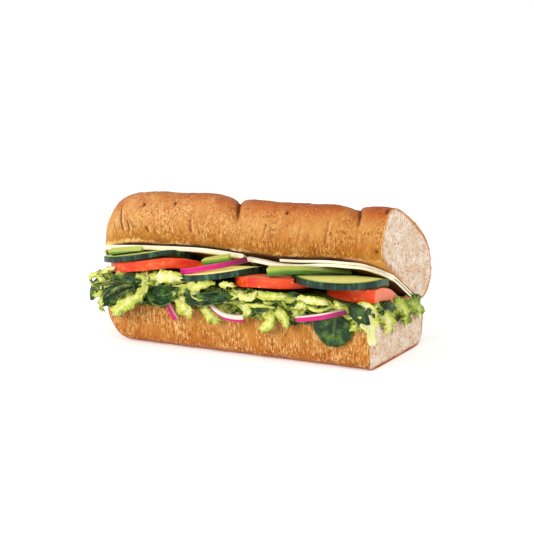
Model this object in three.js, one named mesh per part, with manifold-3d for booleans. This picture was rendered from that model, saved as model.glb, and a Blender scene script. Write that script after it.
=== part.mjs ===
import * as THREE from 'three'
import { mergeVertices } from 'three/addons/utils/BufferGeometryUtils.js'
import Module from 'manifold-3d'

// Half of a long filled sandwich, in millimetres. X runs along the loaf to the knife cut, Y to the
// back and Z up. The origin lies on the flat underside, below the middle of the filling.

const wasm = await Module()
wasm.setup()

const { lerp, clamp, degToRad } = THREE.MathUtils

const cutX = 77
const fillingEnd = 76.7
const clearance = 0.3
const leafClearance = 0.48
const seed = 43

// The crown is the upper half of the bread. Its section is measured from the low front edge, u along
// the cut underside to the back and v square to it.
const crown = {
  edgeY: -16.7,
  pitch: degToRad(30),
  middle: 29,
  waist: 13,
  halfWidth: 34.2,
  rise: 17.8,
  drop: 18,
  frontPower: 3.8,
  backPower: 2.15,
  lowPower: 2.6,
  edgeHeights: [[-82, 45.6], [-48, 48.4], [-22, 49.7], [19, 48.4], [35, 49], [51, 50.4], [77, 50.7]],
  endStart: -56,
  endLength: 25.2,
  endWidthPower: 3.2,
  endRisePower: 3.6,
  endRiseExtra: 0.4,
  lip: 2,
  lipHeight: 4,
  pivotShare: 0.7,
  around: 31,
  crustShare: 0.84,
  unevenness: 0.3,
}

// The two slashes that the baker cut across the crown, leaning back to the left.
const slashes = [
  { x: -8, depth: 3.2, width: 5.5, fadeLow: 2, fadeHigh: 24 },
  { x: 54.5, depth: 3.2, width: 8.5, fadeLow: 10, fadeHigh: 24 },
]
const slashShape = { wide: 0.6, crease: 0.4, creaseWidth: 1.5, backLoss: 0.6, backOver: 25 }
const slashLean = { reach: 10, middleY: 3, softness: 22, from: -50, full: -25, ease: 60 }
const slashRings = [-11, -7, -3.5, -1.2, 0, 1.2, 3.5, 7, 11]

// The heel is the lower half, flat below and cut at a slope above.
const heel = {
  middleY: 2.5,
  halfWidth: 32.7,
  waist: 12,
  drop: 12.9,
  power: 5.5,
  wallLean: 1.4,
  frontY: -29,
  frontTop: 23.5,
  backY: 34.9,
  backTop: 17,
  endStart: -52,
  endLength: 25.6,
  endWidthPower: 2.4,
  baseRound: 3,
  undercutStart: -57.5,
  undercutLength: 20.5,
  undercutPower: 1.4,
  around: 30,
  crustShare: 0.8,
  wallShare: 0.09,
  unevenness: 0.35,
}

// The filling lies level at the front and follows the crown's underside down to the back.
const ceiling = {
  leftGap: 3.05,
  rightGap: 3.65,
  changeFrom: -6,
  changeTo: 8,
  frontLift: 5,
  frontY: -19.5,
  bendSoftness: 1.5,
}

// Cheese slices. Fronts, gaps and droops are stations along X: front edge, space above, sag of the flap.
const cheeses = {
  cheese_left: {
    from: -74,
    to: 3.5,
    fronts: [[-42, -19.3], [-4, -16.6]],
    backY: 30,
    thick: 2.2,
    gaps: [[0, 0.35]],
    droops: [[0, 0]],
  },
  cheese_mid: {
    from: 6.9,
    to: fillingEnd,
    fronts: [[58, -20.8], [66, -18.8], [72, -12.2], [77, -3.4]],
    backY: 30.5,
    thick: 1.5,
    gaps: [[12, 0.4], [22, 1.85]],
    droops: [[30, 1.3], [52, 0]],
  },
  cheese_right: {
    from: 25,
    to: fillingEnd,
    fronts: [[58, -20], [66, -18], [72, -11.4], [77, -2.4]],
    backY: 31,
    thick: 1.2,
    gaps: [[0, 0.35]],
    droops: [[0, 0.2]],
  },
}
const cheeseShape = {
  columnLength: 8,
  rows: 7,
  frontEase: 1.35,
  flapFrom: 2,
  flapOver: 6,
  ripple: 0.35,
  rippleRate: 0.22,
}

// Each slice is a disc. Its top is a tilted plane, held under the ceiling less what lies above it.
const slices = {
  cucumber_left: { x: -50.5, y: -13, radius: 23.8, thick: 2.8, height: 45.4, tilt: 0.2, most: 49, above: 0 },
  cucumber_mid: { x: -8.5, y: -13, radius: 23.8, thick: 3, height: 40, tilt: 0.165, above: 0 },
  cucumber_right: { x: 54.2, y: -13, radius: 23.2, thick: 3.2, height: 42.5, tilt: -0.01, above: 0 },
  tomato_left: { x: -45, y: -6.5, radius: 28.5, thick: 5.1, height: 43, tilt: 0.2, most: 45.4, above: 3.9 },
  tomato_mid: { x: 23, y: -9.6, radius: 25, thick: 4.8, height: 41.7, tilt: 0.165, most: 41.2, above: 3.6 },
  tomato_right: { x: 68.5, y: -0.5, radius: 25, thick: 6.2, height: 38.3, tilt: 0, above: 4.8 },
}
const sliceShape = {
  seat: 1.2,
  sides: 24,
  rings: [0.36, 0.7],
  softness: 5,
  settleFrom: 10.8,
  settleOver: 6,
}

// Strips: a path of three points, a height and a thickness at its two ends.
const peppers = {
  pepper_left: {
    path: [[-64.5, -28.6, 44.5], [-56, -29, 45.9], [-47, -28, 47.1]],
    tall: [3, 1.6],
    thick: 4,
  },
  pepper_mid: {
    path: [[-15.5, -22, 43], [-8.5, -22.6, 44.6], [-1, -21.6, 46.2]],
    tall: [3.2, 3.2],
    thick: 3.6,
  },
  pepper_right: {
    path: [[24.5, -31, 43.7], [42, -25.5, 44.7], [60, -14, 43.4]],
    tall: [4.2, 1.4],
    thick: 4.4,
  },
}
const onions = {
  onion_upper: {
    path: [[-23.5, -30.5, 39], [-8, -30.5, 42.3], [9.5, -23.6, 46.8]],
    tall: [2.8, 2.6],
    thick: 1.5,
  },
  onion_hanging: {
    path: [[-30.8, -32.6, 25.5], [-28, -33.6, 20.5], [-25, -33.4, 15.6]],
    tall: [2.8, 2.8],
    thick: 1.1,
  },
  onion_arc: {
    path: [[-6, -33.4, 25.8], [2.4, -36.3, 21.2], [13, -34.6, 20.3]],
    tall: [1.4, 3.4],
    thick: 1.6,
  },
  onion_low: {
    path: [[41.8, -36, 23.6], [54.3, -38.4, 26.3], [68, -37.6, 30.2]],
    tall: [2.7, 3],
    thick: 1.6,
  },
}

const stripShape = { pieces: 8, taper: 0.12 }

// Leaves: a path from stalk to tip, a width, and the way that the face looks.
const leaves = {
  spinach_tip: {
    path: [[-66, -24, 30.5], [-74, -24, 27], [-80.6, -22, 17]],
    width: 7,
    cup: 1.2,
  },
  spinach_upper: {
    path: [[-43, -31.2, 33], [-56, -33.5, 30.4], [-68, -31.6, 25.4]],
    width: 9,
    cup: 1.6,
  },
  spinach_fan: {
    path: [[-45, -34.6, 27.5], [-56, -36.4, 25], [-66.5, -33.4, 19.2]],
    width: 8.5,
    cup: -1.4,
  },
  spinach_curled: {
    path: [[-24.4, -33, 31], [-31, -37, 27.6], [-39, -34.6, 30.4]],
    width: 10,
    cup: -3.2,
  },
  spinach_broad: {
    path: [[-9, -31.4, 29.6], [-14, -33.4, 28.4], [-20, -32.4, 23.4]],
    width: 11,
    cup: 1.8,
  },
  spinach_long: {
    path: [[8, -32.6, 30.8], [-5, -37.4, 28.6], [-18, -36.6, 26.2]],
    width: 6.4,
    cup: -1,
  },
  spinach_slim: {
    path: [[29.5, -32.4, 29.2], [20, -35, 27.2], [9.8, -33.4, 24.4]],
    width: 6.4,
    cup: 1.2,
  },
  spinach_small: {
    path: [[42, -31.4, 33.6], [37.5, -33.6, 32], [33, -32.6, 30]],
    width: 7,
    cup: -1,
  },
  spinach_round: {
    path: [[62.5, -32.5, 28], [61, -33.8, 24], [59.6, -33.6, 11.6]],
    width: 22.6,
    cup: 1.4,
  },
  spinach_corner: {
    path: [[67, -31.2, 32.2], [73, -34.6, 29.4], [77.4, -32.4, 23.4]],
    width: 7.4,
    cup: 1.4,
  },
  spinach_cut: {
    path: [[77.9, -19, 25.8], [79.2, -12, 28], [78.9, -4, 25.8]],
    width: 5,
    cup: 0.6,
    look: [0.95, -0.3, 0.1],
  },
}
const leafShape = {
  thick: 0.8,
  look: [0.3, -0.9, 0.25],
  roundness: 0.62,
  blunt: 0.05,
  ripple: 0.5,
  ripples: 2.6,
  wide: 15,
}

// The lettuce is a heap with a plain core. Shreds come out of its front and hang over the heel.
const heap = {
  from: -77,
  to: 76,
  frontY: -30.2,
  backY: 32.6,
  endStart: -54,
  endPower: 2.4,
  tops: [[-76, 32.4], [-65, 33.4], [-34, 38.4], [-22, 36.6], [-11, 33.2], [42, 33.4], [52, 31], [77, 30.8]],
  deepFront: 13.4,
  deepBack: 4.1,
  deepFrom: 6,
  deepTo: 24,
  least: 1.4,
  lift: 0.5,
  softness: 4,
  leastWidth: 0.2,
  bulge: 0.8,
}
const shredShape = {
  thick: 0.8,
  steps: 4,
  lanes: 2,
  root: 3,
  bulge: 4.6,
  tipY: -33.2,
  tear: 0.3,
  tearRate: 9,
  tipWidth: 0.35,
  curl: 1.3,
}

// Front shreds, from the left: where they leave the heap, how far the tip lies below and to the side.
const frontShreds = [
  { x: -64, top: 34.5, tip: 37.5, slide: -6, width: 4.5 },
  { x: -66, top: 32, tip: 28.6, slide: -8, width: 6 },
  { x: -56, top: 27, tip: 12.8, slide: -5, width: 4.6 },
  { x: -50, top: 27, tip: 18.4, slide: -2, width: 8 },
  { x: -37, top: 38, tip: 26.8, slide: -9, width: 5 },
  { x: -40, top: 33.6, tip: 35, slide: 15, width: 6 },
  { x: -26, top: 26, tip: 20.5, slide: 9, width: 6 },
  { x: -18, top: 35, tip: 29, slide: 7, width: 7 },
  { x: -10, top: 25, tip: 17, slide: 3, width: 8 },
  { x: -3, top: 31, tip: 35, slide: 10, width: 6 },
  { x: 8, top: 33.6, tip: 34, slide: 17, width: 4.6 },
  { x: 8, top: 28.6, tip: 27.5, slide: 15, width: 7 },
  { x: 29, top: 27, tip: 16.4, slide: -7, width: 9 },
  { x: 31, top: 27, tip: 22.6, slide: 6, width: 6 },
  { x: 38, top: 29.5, tip: 30, slide: 13, width: 7 },
  { x: 47, top: 34, tip: 34, slide: 12, width: 5 },
  { x: 60, top: 32.6, tip: 32.4, slide: 11, width: 5 },
]

// Shreds that come out of the knife cut, from the front corner to the back.
const cutShreds = [
  { y: -25, top: 31, tip: 16.4, slide: 2, width: 12 },
  { y: -12, top: 28.5, tip: 18, slide: 6, width: 13 },
  { y: 3, top: 26, tip: 17.6, slide: 5, width: 10 },
  { y: 18, top: 22.6, tip: 17.4, slide: 8, width: 6 },
]
const cutShredShape = { reach: 3.6, tipReach: 2 }

// Shreds that come out of the round left end.
const endShreds = [
  { y: -16, top: 30, tip: 34, width: 5 },
  { y: -14, top: 28, tip: 22.5, width: 7 },
  { y: -3, top: 27, tip: 23, width: 6 },
  { y: 9, top: 23.5, tip: 20.5, width: 6 },
]
const endShredShape = { x: -71, bow: 6, reach: 12.6 }

// Shreds at random places, along the front and over the back edge.
const scatter = {
  front: 5,
  back: 3,
  fromX: -62,
  toX: 68,
  frontTop: 26.5,
  topSpread: 4,
  drop: 2,
  dropSpread: 3,
  width: 5,
  widthSpread: 3,
  length: 7,
  backTop: 19.5,
  backReach: 5.5,
}

const colours = {
  crust: 0xcd9155,
  cheese: 0xf4ecd6,
  cucumber: 0x2b5a3c,
  tomato: 0xe5492d,
  pepper: 0x8fb53a,
  onion: 0xc0287c,
  spinach: 0x2f5a2e,
  lettuce: 0xbcc95c,
}

// Small numeric helpers.

function smooth(share) {
  const t = clamp(share, 0, 1)
  return t * t * (3 - 2 * t)
}

function signedPower(value, power) {
  return Math.sign(value) * Math.abs(value) ** power
}

function softMin(a, b, width) {
  const near = Math.max(width - Math.abs(a - b), 0) / width
  return Math.min(a, b) - near * near * width / 4
}

// The value at x of a smooth line through stations of [x, value].
function along(stations, x) {
  const next = stations.findIndex((station) => station[0] > x)
  if (next === 0) return stations[0][1]
  if (next < 0) return stations[stations.length - 1][1]
  const [x0, z0] = stations[next - 1]
  const [x1, z1] = stations[next]
  return lerp(z0, z1, smooth((x - x0) / (x1 - x0)))
}

// How much of the full width is left where a loaf's end rounds off to the left of start.
function endShare(x, start, length, power) {
  const share = clamp((start - x) / length, 0, 1)
  return (1 - share ** power) ** (1 / power)
}

// A repeatable stand-in for chance, by the Park and Miller rule.
function makeChance(start) {
  let state = start
  return () => {
    state = (state * 48271) % 2147483647
    return state / 2147483647
  }
}

// Slow unevenness: a sum of three waves that run different ways.
const waveTable = [
  { height: 0.5, way: new THREE.Vector3(0.21, 0.13, 0), start: 0 },
  { height: 0.3, way: new THREE.Vector3(0.47, 0, -0.31), start: 2 },
  { height: 0.2, way: new THREE.Vector3(0, 0.4, 0.5), start: 0 },
]

function waves(x, y, z) {
  const at = new THREE.Vector3(x, y, z)
  const heights = waveTable.map((wave) => wave.height * Math.sin(wave.way.dot(at) + wave.start))
  return heights[0] + heights[1] + heights[2]
}

// Geometry helpers.

// Moves every vertex of a closed geometry and turns the faces outward again.
function warp(geometry, place) {
  const position = geometry.getAttribute('position')
  const point = new THREE.Vector3()
  for (let i = 0; i < position.count; i++) {
    point.fromBufferAttribute(position, i)
    position.setXYZ(i, ...place(point).toArray())
  }
  return closed(geometry)
}

// Joins the vertices that lie together, drops empty triangles and makes the volume positive.
function closed(geometry) {
  geometry.deleteAttribute('normal')
  geometry.deleteAttribute('uv')
  const merged = mergeVertices(geometry, 1e-4)
  const old = merged.index.array
  const index = []
  for (let i = 0; i < old.length; i += 3) {
    const [a, b, c] = old.slice(i, i + 3)
    if (a !== b && b !== c && c !== a) index.push(a, b, c)
  }
  merged.setIndex(index)
  if (volumeOf(merged) < 0) merged.setIndex(index.reverse())
  return merged
}

function volumeOf(geometry) {
  const position = geometry.getAttribute('position')
  const [a, b, c] = [new THREE.Vector3(), new THREE.Vector3(), new THREE.Vector3()]
  let six = 0
  for (let i = 0; i < geometry.index.count; i += 3) {
    a.fromBufferAttribute(position, geometry.index.getX(i))
    b.fromBufferAttribute(position, geometry.index.getX(i + 1))
    c.fromBufferAttribute(position, geometry.index.getX(i + 2))
    six += a.dot(b.cross(c))
  }
  return six / 6
}

function toSolid(geometry) {
  const vertProperties = new Float32Array(geometry.getAttribute('position').array)
  const triVerts = new Uint32Array(geometry.index.array)
  return new wasm.Manifold(new wasm.Mesh({ numProp: 3, vertProperties, triVerts }))
}

function toGeometry(solid) {
  const { vertProperties, triVerts } = solid.getMesh()
  const geometry = new THREE.BufferGeometry()
  geometry.setAttribute('position', new THREE.BufferAttribute(vertProperties, 3))
  geometry.setIndex(new THREE.BufferAttribute(triVerts, 1))
  return geometry
}

// Cuts a geometry clear of its neighbours and keeps the largest piece.
function cutClear(solid, neighbours) {
  let left = solid
  for (const neighbour of neighbours) {
    left = left.subtract(toSolid(neighbour))
  }
  const pieces = left.decompose()
  pieces.sort((a, b) => b.volume() - a.volume())
  return pieces[0]
}

// A thin wavy sheet. Both faces carry the same triangles, and a rim joins them.
function sheet(surface, thickness, steps, lanes, grow = 0) {
  const positions = []
  const step = 0.01
  for (const side of [0.5, -0.5]) {
    for (let i = 0; i <= steps; i++) {
      for (let j = 0; j <= lanes; j++) {
        const s = i / steps
        const t = 2 * j / lanes - 1
        const ahead = surface(s + step, t).sub(surface(s - step, t)).normalize()
        const across = surface(s, t + step).sub(surface(s, t - step)).normalize()
        const normal = ahead.clone().cross(across).normalize()
        const point = surface(s, t).addScaledVector(normal, side * (thickness + 2 * grow))
        const endward = (i === steps) - (i === 0)
        const sideward = (j === lanes) - (j === 0)
        point.addScaledVector(ahead, endward * grow).addScaledVector(across, sideward * grow)
        positions.push(...point.toArray())
      }
    }
  }
  const width = lanes + 1
  const far = width * (steps + 1)
  const index = []
  for (let i = 0; i < steps; i++) {
    for (let j = 0; j < lanes; j++) {
      const a = i * width + j
      index.push(a, a + width, a + 1, a + 1, a + width, a + width + 1)
      index.push(far + a, far + a + 1, far + a + width, far + a + 1, far + a + width + 1, far + a + width)
    }
  }
  const rim = []
  for (let i = 0; i < steps; i++) rim.push(i * width)
  for (let j = 0; j < lanes; j++) rim.push(steps * width + j)
  for (let i = steps; i > 0; i--) rim.push(i * width + lanes)
  for (let j = lanes; j > 0; j--) rim.push(j)
  rim.forEach((a, k) => {
    const b = rim[(k + 1) % rim.length]
    index.push(a, far + a, b, b, far + a, far + b)
  })
  const geometry = new THREE.BufferGeometry()
  geometry.setAttribute('position', new THREE.Float32BufferAttribute(positions, 3))
  geometry.setIndex(index)
  return closed(geometry)
}

// Bread.

function crownEdge(x) {
  return along(crown.edgeHeights, x)
}

function underside(x, y) {
  return crownEdge(x) - Math.tan(crown.pitch) * (y - crown.edgeY)
}

// Like underside, but level in front of the crown's edge.
function softUnderside(x, y) {
  const soft = ceiling.bendSoftness
  const behind = soft * Math.log1p(Math.exp((y - crown.edgeY) / soft))
  return crownEdge(x) - Math.tan(crown.pitch) * behind
}

function heelTop(y) {
  return heel.frontTop + (heel.backTop - heel.frontTop) * (y - heel.frontY) / (heel.backY - heel.frontY)
}

// Ring stations: close together round the left end and at the slashes, wide apart elsewhere.
function endRings(start, length) {
  const rings = []
  for (let degrees = 86; degrees > 0; degrees -= 10.75) {
    rings.push(start - length * Math.sin(degToRad(degrees)))
  }
  return rings
}

const crownRings = [
  ...endRings(crown.endStart, crown.endLength),
  ...[-56, -49, -42, -35, -27],
  ...slashRings.map((offset) => slashes[0].x + offset),
  ...[11, 19, 27, 35, 42],
  ...slashRings.map((offset) => slashes[1].x + offset),
  cutX,
]

const heelRings = endRings(heel.endStart, heel.endLength)
for (let x = heel.endStart; x < cutX - 5; x += 10.6) heelRings.push(x)
heelRings.push(cutX)

// The unit tube that both halves are bent from: a ring for each station, capped at both ends.
function bend(rings, around, section) {
  const tube = new THREE.CylinderGeometry(1, 1, 1, around, rings.length - 1)
  return warp(tube, (point) => {
    const station = rings[Math.round((0.5 - point.y) * (rings.length - 1))]
    const turn = (Math.atan2(point.x, point.z) / (2 * Math.PI) + 1) % 1
    const share = Math.round(turn * around) / around
    const inner = Math.hypot(point.x, point.z) < 0.5
    return section(station, share, inner)
  })
}

// A point of the crown's full section: over the crust from the front edge, then back along the cut.
function crownOutline(share) {
  const lowAngle = Math.asin((crown.waist / crown.drop) ** (crown.lowPower / 2))
  const reach = crown.halfWidth * Math.cos(lowAngle) ** (2 / crown.lowPower)
  if (share >= crown.crustShare) {
    const back = (share - crown.crustShare) / (1 - crown.crustShare)
    return { u: crown.middle + lerp(reach, -reach, back), v: 0 }
  }
  const angle = lerp(Math.PI + lowAngle, -lowAngle, share / crown.crustShare)
  const [c, s] = [Math.cos(angle), Math.sin(angle)]
  const upper = c < 0 ? crown.frontPower : crown.backPower
  const power = s < 0 ? crown.lowPower : upper
  const height = s < 0 ? crown.drop : crown.rise
  return {
    u: crown.middle + crown.halfWidth * signedPower(c, 2 / power),
    v: Math.max(0, crown.waist + height * signedPower(s, 2 / power)),
  }
}

// How far the slashes press a point of the crust inward.
function slashDepth(station, u, v) {
  let depth = 0
  for (const slash of slashes) {
    const away = Math.abs(station - slash.x)
    const wide = slashShape.wide * Math.exp(-((away / slash.width) ** 2))
    const crease = slashShape.crease * Math.exp(-away / slashShape.creaseWidth)
    depth += slash.depth * (wide + crease) * smooth((v - slash.fadeLow) / (slash.fadeHigh - slash.fadeLow))
  }
  return depth * (1 - slashShape.backLoss * smooth((u - crown.middle) / slashShape.backOver))
}

function crownPoint(station, share, inner, grow) {
  const width = endShare(station, crown.endStart, crown.endLength, crown.endWidthPower)
  const riseLength = crown.endLength + crown.endRiseExtra
  const rise = endShare(station, crown.endStart, riseLength, crown.endRisePower)
  const full = inner ? { u: crown.middle, v: crown.waist } : crownOutline(share)
  const onCrust = full.v > 0.5 && !inner
  const pull = onCrust ? -slashDepth(station, full.u, full.v) + grow : 0
  const [outU, outV] = [full.u - crown.middle, full.v - crown.pivotShare * crown.waist]
  const out = Math.hypot(outU, outV)
  const rough = onCrust ? crown.unevenness * waves(station, full.u, full.v) : 0
  const edgeGrow = full.v > 0.5 || inner ? 0 : grow
  const u = crown.middle + outU * width * (1 + (pull + rough + edgeGrow) / out)
  const v = full.v * rise + outV * (pull + rough) * rise / out - edgeGrow
  const y = crown.edgeY + u * Math.cos(crown.pitch) + v * Math.sin(crown.pitch)
  const leanIn = smooth((station - slashLean.from) / (slashLean.full - slashLean.from))
  const leanOut = 1 - smooth((station - slashLean.ease) / (cutX - slashLean.ease))
  const lean = slashLean.reach * Math.tanh((slashLean.middleY - y) / slashLean.softness) * leanIn * leanOut
  const endGrow = station === cutX ? grow : 0
  const lip = crown.lip * Math.exp(-Math.max(v, 0) / crown.lipHeight) * (1 - width)
  const x = station + lean - lip + endGrow
  const z = crownEdge(x) - u * Math.sin(crown.pitch) + v * Math.cos(crown.pitch)
  return new THREE.Vector3(x, y, z)
}

function crownGeometry(grow = 0) {
  return bend(crownRings, crown.around, (station, share, inner) => crownPoint(station, share, inner, grow))
}

// A point of the heel's full section: down the front wall, round below, up the back and over the cut.
function heelOutline(share) {
  const round = heel.crustShare - 2 * heel.wallShare
  if (share < heel.wallShare) {
    const up = 1 - share / heel.wallShare
    const y = heel.middleY - heel.halfWidth + heel.wallLean * up * up
    return { y, z: lerp(heel.waist, heel.frontTop, up) }
  }
  if (share < heel.wallShare + round) {
    const angle = Math.PI * (1 + (share - heel.wallShare) / round)
    return {
      y: heel.middleY + heel.halfWidth * signedPower(Math.cos(angle), 2 / heel.power),
      z: Math.max(0, heel.waist + heel.drop * signedPower(Math.sin(angle), 2 / heel.power)),
    }
  }
  if (share < heel.crustShare) {
    const up = (share - heel.wallShare - round) / heel.wallShare
    return { y: lerp(heel.middleY + heel.halfWidth, heel.backY, up), z: lerp(heel.waist, heel.backTop, up) }
  }
  const y = lerp(heel.backY, heel.frontY, (share - heel.crustShare) / (1 - heel.crustShare))
  return { y, z: heelTop(y) }
}

function heelPoint(station, share, inner, grow) {
  const width = endShare(station, heel.endStart, heel.endLength, heel.endWidthPower)
  const depth = endShare(station, heel.undercutStart, heel.undercutLength, heel.undercutPower)
  const full = inner ? { y: heel.middleY, z: heel.waist } : heelOutline(share)
  const top = heelTop(full.y)
  const onTop = full.z > top - 0.1
  const side = clamp(full.z / heel.baseRound - 0.3, 0, 1) * (onTop || inner ? 0 : 1)
  const rough = side * heel.unevenness * waves(station, full.y, full.z)
  const outward = Math.sign(full.y - heel.middleY) * (inner ? 0 : rough + grow)
  const y = heel.middleY + (full.y - heel.middleY) * width + outward * width
  const lift = onTop ? grow : 0
  const z = top - (top - full.z) * depth + lift
  const endGrow = station === cutX ? grow : 0
  return new THREE.Vector3(station + endGrow, y, z)
}

function heelGeometry(grow = 0) {
  return bend(heelRings, heel.around, (station, share, inner) => heelPoint(station, share, inner, grow))
}

// Filling.

// The height under the cheese that is free for the slices.
function freeHeight(x, y) {
  const change = smooth((x - ceiling.changeFrom) / (ceiling.changeTo - ceiling.changeFrom))
  const gap = lerp(ceiling.leftGap, ceiling.rightGap, change)
  const inFront = smooth((ceiling.frontY - y) / ceiling.frontLift)
  return softUnderside(x, y) - gap + inFront * ceiling.frontLift
}

function cheeseGeometry(cheese, grow = 0) {
  const columns = Math.round((cheese.to - cheese.from) / cheeseShape.columnLength)
  const block = new THREE.BoxGeometry(1, 1, 1, columns, cheeseShape.rows, 1)
  return warp(block, (point) => {
    const x = lerp(cheese.from - grow, cheese.to + grow, point.x + 0.5)
    const front = along(cheese.fronts, x) - grow
    const y = lerp(front, cheese.backY + grow, (point.y + 0.5) ** cheeseShape.frontEase)
    const flap = smooth((crown.edgeY + cheeseShape.flapFrom - y) / cheeseShape.flapOver)
    const ripple = cheeseShape.ripple * Math.max(Math.sin(x * cheeseShape.rippleRate + 1), 0)
    const sag = (along(cheese.droops, x) + ripple) * flap
    const top = softUnderside(x, y) - along(cheese.gaps, x) - sag
    const z = top - cheese.thick / 2 + point.z * (cheese.thick + 2 * grow)
    return new THREE.Vector3(x, y, z)
  })
}

function sliceTop(slice, x, y) {
  const plane = Math.min(slice.height + slice.tilt * (x - slice.x), slice.most ?? Infinity)
  const freed = smooth((y - sliceShape.settleFrom) / sliceShape.settleOver)
  return softMin(plane, freeHeight(x, y) - slice.above * (1 - freed), sliceShape.softness)
}

function sliceGeometry(slice, grow = 0) {
  const radius = slice.radius + grow
  const profile = [new THREE.Vector2(0, 0)]
  for (const height of [0, 1]) {
    const radii = sliceShape.rings.map((share) => share * radius)
    const row = [...radii, radius].map((r) => new THREE.Vector2(r, height))
    profile.push(...(height ? row.reverse() : row))
  }
  profile.push(new THREE.Vector2(0, 1))
  return warp(new THREE.LatheGeometry(profile, sliceShape.sides), (point) => {
    const x = slice.x + point.x
    const y = slice.y + point.z
    const top = sliceTop(slice, x, y)
    const bottom = Math.max(top - slice.thick, heelTop(y) + sliceShape.seat)
    return new THREE.Vector3(x, y, lerp(bottom - grow, top + grow, point.y))
  })
}

function pathOf(points) {
  const [from, via, to] = points.map((point) => new THREE.Vector3(...point))
  const bow = via.clone().multiplyScalar(2).sub(from.clone().add(to).multiplyScalar(0.5))
  return new THREE.QuadraticBezierCurve3(from, bow, to)
}

// A strip with a standing face: its long sides stay upright, and its ends are cut square.
function stripGeometry(strip, grow = 0) {
  const path = pathOf(strip.path)
  const bar = new THREE.BoxGeometry(1, 1, 1, stripShape.pieces, 1, 2)
  const overrun = grow / 20
  return warp(bar, (point) => {
    const s = point.x + 0.5
    const at = path.getPoint(lerp(-overrun, 1 + overrun, s))
    const ahead = path.getPoint(s + 0.01).sub(path.getPoint(s - 0.01)).normalize()
    const side = new THREE.Vector3(-ahead.y, ahead.x, 0).normalize()
    const up = new THREE.Vector3().crossVectors(ahead, side)
    const tall = lerp(strip.tall[0], strip.tall[1], s) + 2 * grow
    const bulge = 1 - stripShape.taper * (2 * point.z) ** 2
    at.addScaledVector(side, point.y * (strip.thick + 2 * grow) * bulge)
    return at.addScaledVector(up, point.z * tall)
  })
}

// The face of a leaf: an oval outline along its path, cupped across and rippled at the sides.
function leafSurface(leaf) {
  const path = pathOf(leaf.path)
  const look = new THREE.Vector3(...(leaf.look ?? leafShape.look)).normalize()
  return (s, t) => {
    const at = path.getPoint(s)
    const ahead = path.getTangent(clamp(s, 0, 1))
    const side = new THREE.Vector3().crossVectors(ahead, look).normalize()
    const face = new THREE.Vector3().crossVectors(side, ahead).normalize()
    const share = lerp(leafShape.blunt, 1 - leafShape.blunt, clamp(s, 0, 1))
    const oval = Math.sin(Math.PI * share) ** leafShape.roundness
    const ripple = leafShape.ripple * Math.sin(s * Math.PI * 2 * leafShape.ripples) * t * t
    at.addScaledVector(side, t * oval * leaf.width / 2)
    return at.addScaledVector(face, leaf.cup * (0.5 - t * t) * oval + ripple * Math.sign(t))
  }
}

function leafGeometry(leaf, grow = 0) {
  const [steps, lanes] = leaf.width > leafShape.wide ? [8, 6] : [7, 4]
  return sheet(leafSurface(leaf), leafShape.thick, steps, lanes, grow)
}

// Lettuce.

function heapTop(x, y) {
  const back = smooth((y - heap.deepFrom) / (heap.deepTo - heap.deepFrom))
  const free = underside(x, y) - lerp(heap.deepFront, heap.deepBack, back)
  return Math.max(heelTop(y) + heap.least, softMin(along(heap.tops, x), free, heap.softness))
}

function coreGeometry() {
  const block = new THREE.BoxGeometry(1, 1, 1, 15, 7, 2)
  return warp(block, (point) => {
    const x = lerp(heap.from, heap.to, point.x + 0.5)
    const end = endShare(x, heap.endStart, heap.endStart - heap.from, heap.endPower)
    const width = Math.max(end, heap.leastWidth)
    const full = lerp(heap.frontY, heap.backY, point.y + 0.5)
    const bulge = heap.bulge * waves(x * 2, full, 0) * (1 - 2 * Math.abs(point.z))
    const y = heel.middleY + (full - heel.middleY) * width + bulge * Math.sign(point.y)
    const bottom = heelTop(full) + heap.lift
    return new THREE.Vector3(x, y, lerp(bottom, heapTop(x, full), point.z + 0.5))
  })
}

// A shred is a strip with torn, curled edges.
function shredGeometry(path, width, look, chance) {
  const phase = chance() * 6
  const turns = 1.2 + chance()
  const surface = (s, t) => {
    const at = path.getPoint(s)
    const ahead = path.getTangent(clamp(s, 0, 1))
    const side = new THREE.Vector3().crossVectors(ahead, look).normalize()
    const face = new THREE.Vector3().crossVectors(side, ahead).normalize()
    const torn = 1 - shredShape.tear * (1 - Math.sin(s * shredShape.tearRate + phase + 2 * t))
    const taper = lerp(shredShape.tipWidth, 1, Math.sin(Math.PI * lerp(0.15, 0.9, s)))
    const curl = shredShape.curl * Math.sin(s * Math.PI * 2 * turns + phase + t)
    at.addScaledVector(side, t * torn * taper * width / 2)
    return at.addScaledVector(face, curl * (0.4 + 0.6 * t * t))
  }
  return sheet(surface, shredShape.thick, shredShape.steps, shredShape.lanes)
}

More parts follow.
